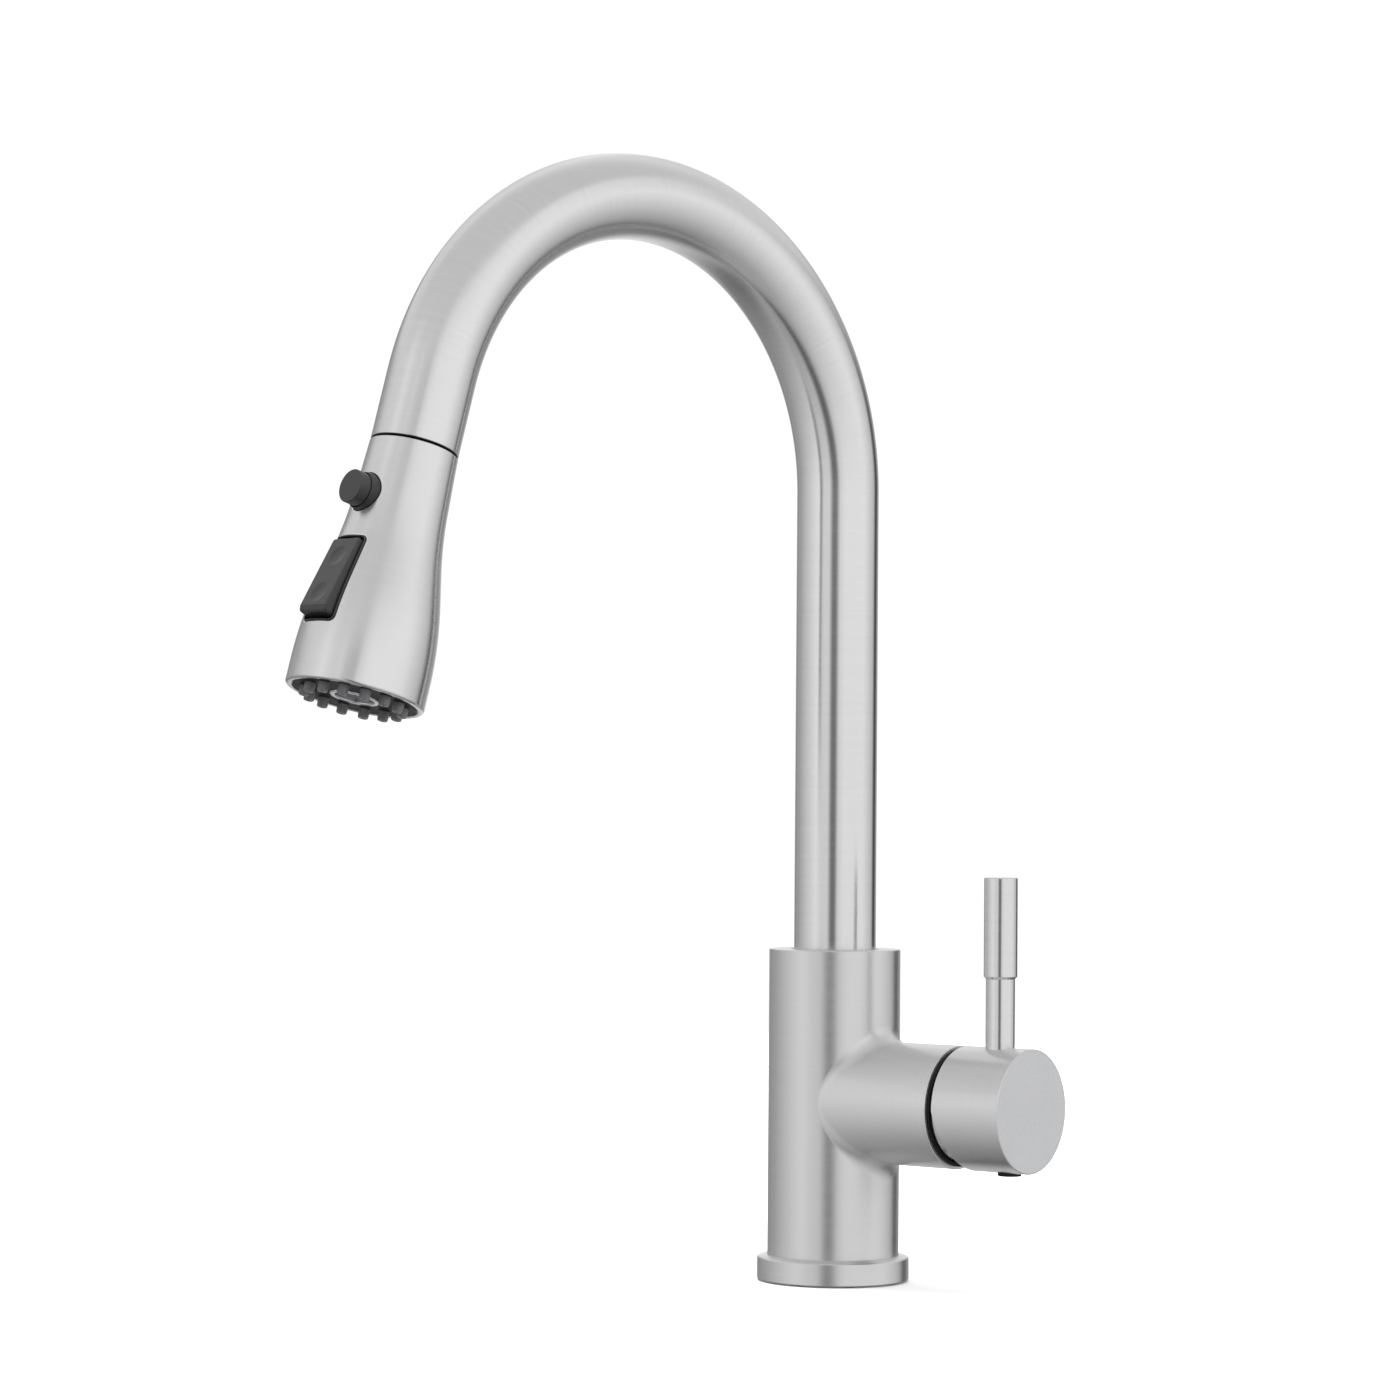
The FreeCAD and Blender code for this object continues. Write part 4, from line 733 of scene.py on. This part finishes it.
# %% Pause button
button = spun([(0.0, -5.0), (2.4, -5.0, 0.2), (2.4, -2.6, 0.1), (1.3, -2.6, 0.1), (1.3, 3.4, 0.1),
               (2.4, 3.4, 0.1),
               (2.4, 19.1, 0.2), (4.6, 19.1, 0.2), (4.6, 15.8, 0.1), (5.8, 15.8, 0.15), (5.8, 21.9, 0.28),
               (0.0, 21.9)],
              button_axis, 96)
piece("button_cap", [button], "pause_button", cap_black, "pause_button")
collar = spun([(6.62, 12.6, 0.1), (6.62, 16.5, 0.5), (6.2, 17.8, 0.16), (6.05, 17.8, 0.06),
               (6.05, 12.6, 0.1)],
              button_axis, 96, closed=True)
piece("button_collar", [collar], "spray_head", finishes["black_plastic"], "button_bezel")

# %% [markdown]
# Under the cap a small coil spring pushes it back out.

# %% Button spring
COIL_RADIUS, COIL_WIRE, COIL_FOOT, COIL_HEIGHT, SEAT_DEPTH = 3.7, 0.35, 13.1, 5.5, 12.6


def spring_coil(columns=12, rows=240, turns=4.6):
    """Helix: angle grows with height. Ring point = centre + wire radius * (cosine out + sine along)."""
    share = np.linspace(0, 1, rows)[:, None]
    angle = share * turns * 2 * math.pi
    wire_size = COIL_WIRE * np.sqrt(np.clip(np.minimum(share, 1 - share) * 60, 0, 1))
    ring = np.arange(columns) * 2 * math.pi / columns
    radius = COIL_RADIUS + wire_size * np.cos(ring)
    along = COIL_FOOT + COIL_HEIGHT * share + wire_size * np.sin(ring)
    points = np.stack([radius * np.cos(angle), radius * np.sin(angle), along], axis=2)
    out_x, out_y = np.cos(ring) * np.cos(angle), np.cos(ring) * np.sin(angle)
    ways = np.stack([out_x, out_y, np.sin(ring) + 0 * angle], axis=2)
    return sheet(put(points, button_axis), turn_only(ways, button_axis))


spring = piece("button_spring_wire", [spring_coil()], "spray_head", finishes["bright_steel"],
               "pause_button_spring")
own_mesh(spring)

# %% [markdown]
# ## The spray face
# Fourteen soft nozzles poke through a dark plate, all moulded in one rubber mat, so
# that limescale can be rubbed off them. In the middle the stream comes through a
# bright ring and a fine screen.

# %% Nozzle mat
nozzle_parts = [spun([(19.8, 81.4), (19.8, 82.74), (12.4, 82.74), (12.4, 81.4)], head, 96, closed=True,
                     steps=2)]
for count in range(14):
    turn = count * 2 * math.pi / 14
    at = spot(head_origin + 16.4 * (math.cos(turn) * sideways + math.sin(turn) * out_of_head), sideways,
              out_of_head, down_head)
    nozzle_parts.append(spun([(1.9, 82.0), (1.9, 88.2, 3.0), (1.75, 90.28, 0.6), (0.6, 90.3, 0.2),
                              (0.5, 88.9, 0.1),
                              (0.0, 88.9)], at, 24, steps=4))
piece("nozzle_rubber", nozzle_parts, "spray_head", finishes["nozzle_silicone"], "nozzle_mat")

# %% Stream ring
stream_ring = spun([(8.5, 78.0), (8.5, 87.6, 0.5), (6.5, 87.6, 0.5), (6.5, 86.4, 0.15), (6.9, 86.4, 0.1),
                    (6.9, 78.0)],
                   head, 96, closed=True)
piece("stream_ring", [stream_ring], "spray_head", finishes["bright_steel"], "aerator_housing")

# %% [markdown]
# ## The handle
# The hub is a drum that turns on the end of the arm. The lower half of its back rim
# slants away, so that the handle can tip without touching the arm. The lever is a
# rod in two thicknesses that stands on the hub.

# %% Handle hub and lever
HUB_R, HUB_BACK, HUB_FRONT, RELIEF = 22.06, 58.46, 86.39, math.tan(math.radians(14.0))
hub_line, hub_facing = profile([(19.9, 68.0), (19.9, HUB_BACK, 0.12), (HUB_R, HUB_BACK, 0.3),
                                (HUB_R, HUB_FRONT, 0.4),
                                (21.6, HUB_FRONT)])
turn = np.arange(192) * 2 * math.pi / 192
ring_x, ring_y = np.cos(turn)[None], np.sin(turn)[None]
rim = (hub_line[:, 1:] < 62)
below = np.maximum(hub_line[:, :1] * ring_x, 0) * rim
hub_points = np.stack([hub_line[:, :1] * ring_x, hub_line[:, :1] * ring_y, hub_line[:, 1:] + below * RELIEF],
                      axis=2)
tilt = np.maximum(-hub_facing[:, 1:], 0) * RELIEF * rim * (ring_x > 1e-6)
hub_normals = np.stack([hub_facing[:, :1] * ring_x + tilt, hub_facing[:, :1] * ring_y,
                        hub_facing[:, 1:] + 0 * turn], axis=2)
hub_normals /= np.linalg.norm(hub_normals, axis=2, keepdims=True)
floor_disc = spun([(0.0, 68.0), (19.9, 68.0)], arm, 96)
hub_wall = sheet(put(hub_points, arm), turn_only(hub_normals, arm))
piece("hub_skin", [hub_wall, floor_disc], "handle", hub_steel, "handle_hub")
disc = spun([(21.6, HUB_FRONT), (9.0, HUB_FRONT, 0.0), (0.0, HUB_FRONT)], arm, 192)
disc_steel = cast_finish("disc_steel", (0.86, 0.865, 0.87), 1.0, 0.36, 0.03, 900, 0.000004, 0.02)
piece("hub_disc", [disc], "handle", disc_steel)

lever = spun([(0.0, 74.0), (3.45, 74.0, 0.2), (3.45, 86.3, 0.1), (5.2, 86.3, 0.1), (5.2, 111.3, 0.12),
              (6.0, 112.2, 0.25),
              (6.0, 147.3, 0.5), (0.0, 147.3)], lever_axis, 96)
piece("lever_skin", [lever], "handle", tube_steel, "lever_rod")

# %% [markdown]
# ## Spare hose
# The braided hose is hidden while the head is docked. A short sleeve of it sits in the spout's end.

# %% Hose sleeve
sleeve_line = np.stack([np.full(120, 5.4), np.linspace(-23.5, -15.5, 120)], axis=1)
sleeve_ring = np.arange(48) * 2 * math.pi / 48
sleeve_points = np.stack([5.4 * np.cos(sleeve_ring) + 0 * sleeve_line[:, :1],
                          5.4 * np.sin(sleeve_ring) + 0 * sleeve_line[:, :1],
                          sleeve_line[:, 1:] + 0 * sleeve_ring], axis=2)
sleeve_normals = np.stack([np.cos(sleeve_ring) + 0 * sleeve_line[:, :1],
                           np.sin(sleeve_ring) + 0 * sleeve_line[:, :1],
                           0 * sleeve_line[:, 1:] + 0 * sleeve_ring], axis=2)
sleeve = piece("hose_drawn_out", [sheet(put(sleeve_points, head), turn_only(sleeve_normals, head))], None,
               finishes["hose_braid"])
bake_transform(sleeve)

# %% [markdown]
# ## Studio
# Steel shows the room, not itself. In a product studio tall soft boxes stand left and right with a dark gap
# between them, and the tubes show that gap as the soft dark band down their middle. Here the room is the world.
# Each soft box adds light round one direction of the compass, each dark flag takes light away, and the walls
# darken towards the floor. All of them are listed below, and the camera sees plain white.

# %% The room as a world
CAMERA_SIDE, CAMERA_RIGHT = np.array([0.6193, -0.7851, 0.0]), np.array([0.7851, 0.6193, 0.0])
WALL_GREY = 0.4
SOFT_BOXES = {"left": (-60, 35, 70, 0.55), "right": (50, 60, 60, 0.55), "back": (180, 10, 20, 0.7)}
DARK_FLAGS = {"front gap": (-10, 10, 10, 0.8), "right rear": (135, 10, 10, 0.85),
              "left rear": (-155, 5, 20, 0.4)}
FLOOR_GREY, EYE_GREY, CEILING_LOSS, ABOVE_GAP = 0.45, 1.05, 0.15, 0.8
ROOF_SLOPE, ROOF_BASE, ROOF_LEAST = -0.65, 0.45, 0.65


def facing(tree, compass, centre, half_width, edge):
    """1 near the centre and 0 far from it: distance = size of (compass - centre), wrapped at half a turn."""
    away = sums(tree, "WRAP", sums(tree, "SUBTRACT", compass, centre), 180, -180)
    return ramp(tree, sums(tree, "ABSOLUTE", away), 1.0, 0.0, half_width - edge / 2, half_width + edge / 2)


def studio():
    """Compass = angle of (direction . right, direction . side); rise = arcsine of the direction's height."""
    world = bpy.data.worlds.new("studio")
    world.use_nodes = True
    tree = world.node_tree
    tree.nodes.clear()
    way = tree.nodes.new("ShaderNodeTexCoord").outputs["Generated"]
    parts = []
    for axis in (CAMERA_RIGHT, CAMERA_SIDE):
        dot = wire(tree, "ShaderNodeVectorMath", i0=way, i1=tuple(map(float, axis)))
        dot.operation = "DOT_PRODUCT"
        parts.append(dot.outputs["Value"])
    degrees = 180 / math.pi
    compass = sums(tree, "MULTIPLY", sums(tree, "ARCTAN2", parts[0], parts[1]), degrees)
    height = wire(tree, "ShaderNodeSeparateXYZ", Vector=way).outputs[2]
    rise = sums(tree, "MULTIPLY", sums(tree, "ARCSINE", height), degrees)
    round_grey = WALL_GREY
    for centre, half_width, edge, light in SOFT_BOXES.values():
        share = facing(tree, compass, centre, half_width, edge)
        round_grey = sums(tree, "MULTIPLY_ADD", share, light, round_grey)
    for centre, half_width, edge, dark in DARK_FLAGS.values():
        kept_light = sums(tree, "MULTIPLY_ADD", facing(tree, compass, centre, half_width, edge), -dark, 1.0)
        round_grey = sums(tree, "MULTIPLY", round_grey, kept_light)
    above_gap = ramp(tree, rise, 0.0, ABOVE_GAP, 10, 25)
    from_floor = ramp(tree, rise, FLOOR_GREY, EYE_GREY, -60, 10)
    tall_grey = sums(tree, "SUBTRACT", from_floor, ramp(tree, rise, 0.0, CEILING_LOSS, 10, 40))
    walls = sums(tree, "MULTIPLY", sums(tree, "MAXIMUM", round_grey, above_gap), tall_grey)
    roof = sums(tree, "MAXIMUM", sums(tree, "MULTIPLY_ADD", parts[1], ROOF_SLOPE, ROOF_BASE), ROOF_LEAST)
    upper = ramp(tree, rise, 0.0, 1.0, 35, 45)
    grey = sums(tree, "ADD", walls, sums(tree, "MULTIPLY", upper, sums(tree, "SUBTRACT", roof, walls)))
    room = wire(tree, "ShaderNodeBackground", Color=tinted(tree, grey, (1, 1, 1.01)))
    plain = wire(tree, "ShaderNodeBackground", Color=(1, 1, 1, 1), Strength=1.05)
    choose = wire(tree, "ShaderNodeMixShader")
    tree.links.new(tree.nodes.new("ShaderNodeLightPath").outputs["Is Camera Ray"], choose.inputs[0])
    tree.links.new(room.outputs[0], choose.inputs[1])
    tree.links.new(plain.outputs[0], choose.inputs[2])
    out = tree.nodes.new("ShaderNodeOutputWorld")
    tree.links.new(choose.outputs[0], out.inputs[0])
    bpy.context.scene.world = world


studio()
bpy.context.scene.view_settings.view_transform = "Standard"
print("room has", len(SOFT_BOXES), "soft boxes and", len(DARK_FLAGS), "dark flags")


# %% [markdown]
# ## Deck
# The faucet stands near the front edge of a plain pale deck, as it does behind a sink,
# so that the head can be drawn down below the deck.

# %% Deck and the light above it
def deck_sheet():
    """Corners of a flat grid just below the base: across by back, its front edge just before the base."""
    across, back = np.meshgrid(np.linspace(-1.25, 1.25, 11), np.linspace(-0.09, 1.25, 7))
    return np.stack([across, back, np.full(across.shape, -0.0006)], axis=2)


floor_grid = deck_sheet()
floor_mesh = bpy.data.meshes.new("floor")
number = np.arange(floor_grid.shape[0] * floor_grid.shape[1]).reshape(floor_grid.shape[:2])
quads = np.stack([number[:-1, :-1], number[:-1, 1:], number[1:, 1:], number[1:, :-1]], axis=2)
floor_mesh.from_pydata(floor_grid.reshape(-1, 3), [], quads.reshape(-1, 4).tolist())
floor = bpy.data.objects.new("floor", floor_mesh)
bpy.context.scene.collection.objects.link(floor)
floor_mesh.materials.append(cast_finish("floor_paper", (0.9, 0.9, 0.9), 0.0, 0.8, 0.01, 60, 0.00002, 0.01))
floor.visible_glossy = False
above = bpy.data.lights.new("above", "AREA")
above.shape, above.size, above.energy = "DISK", 3.6, 170.0
above_object = bpy.data.objects.new("above", above)
above_object.location = (0.0, 0.0, 2.6)
above_object.visible_glossy = False
bpy.context.scene.collection.objects.link(above_object)

# %% [markdown]
# ## Camera
# A long lens, from a little above the deck, looks slightly up at the arch.

# %% Camera
LOOK_UP, ROLL = math.radians(1.54), math.radians(0.44)
ahead = -CAMERA_SIDE * math.cos(LOOK_UP) + upward * math.sin(LOOK_UP)
over = upward * math.cos(LOOK_UP) + CAMERA_SIDE * math.sin(LOOK_UP)
right = CAMERA_RIGHT * math.cos(ROLL) + over * math.sin(ROLL)
over = over * math.cos(ROLL) - CAMERA_RIGHT * math.sin(ROLL)
lens = bpy.data.cameras.new("camera")
lens.lens, lens.sensor_width, lens.clip_start, lens.clip_end = 102.33, 36.0, 0.05, 30.0
camera = bpy.data.objects.new("camera", lens)
rows = [[float(right[k]), float(over[k]), float(-ahead[k]),
         float((0.8639, -1.1760, 0.1715)[k])] for k in range(3)]
camera.matrix_world = mathutils.Matrix(rows + [[0.0, 0.0, 0.0, 1.0]])
bpy.context.scene.collection.objects.link(camera)
bpy.context.scene.camera = camera
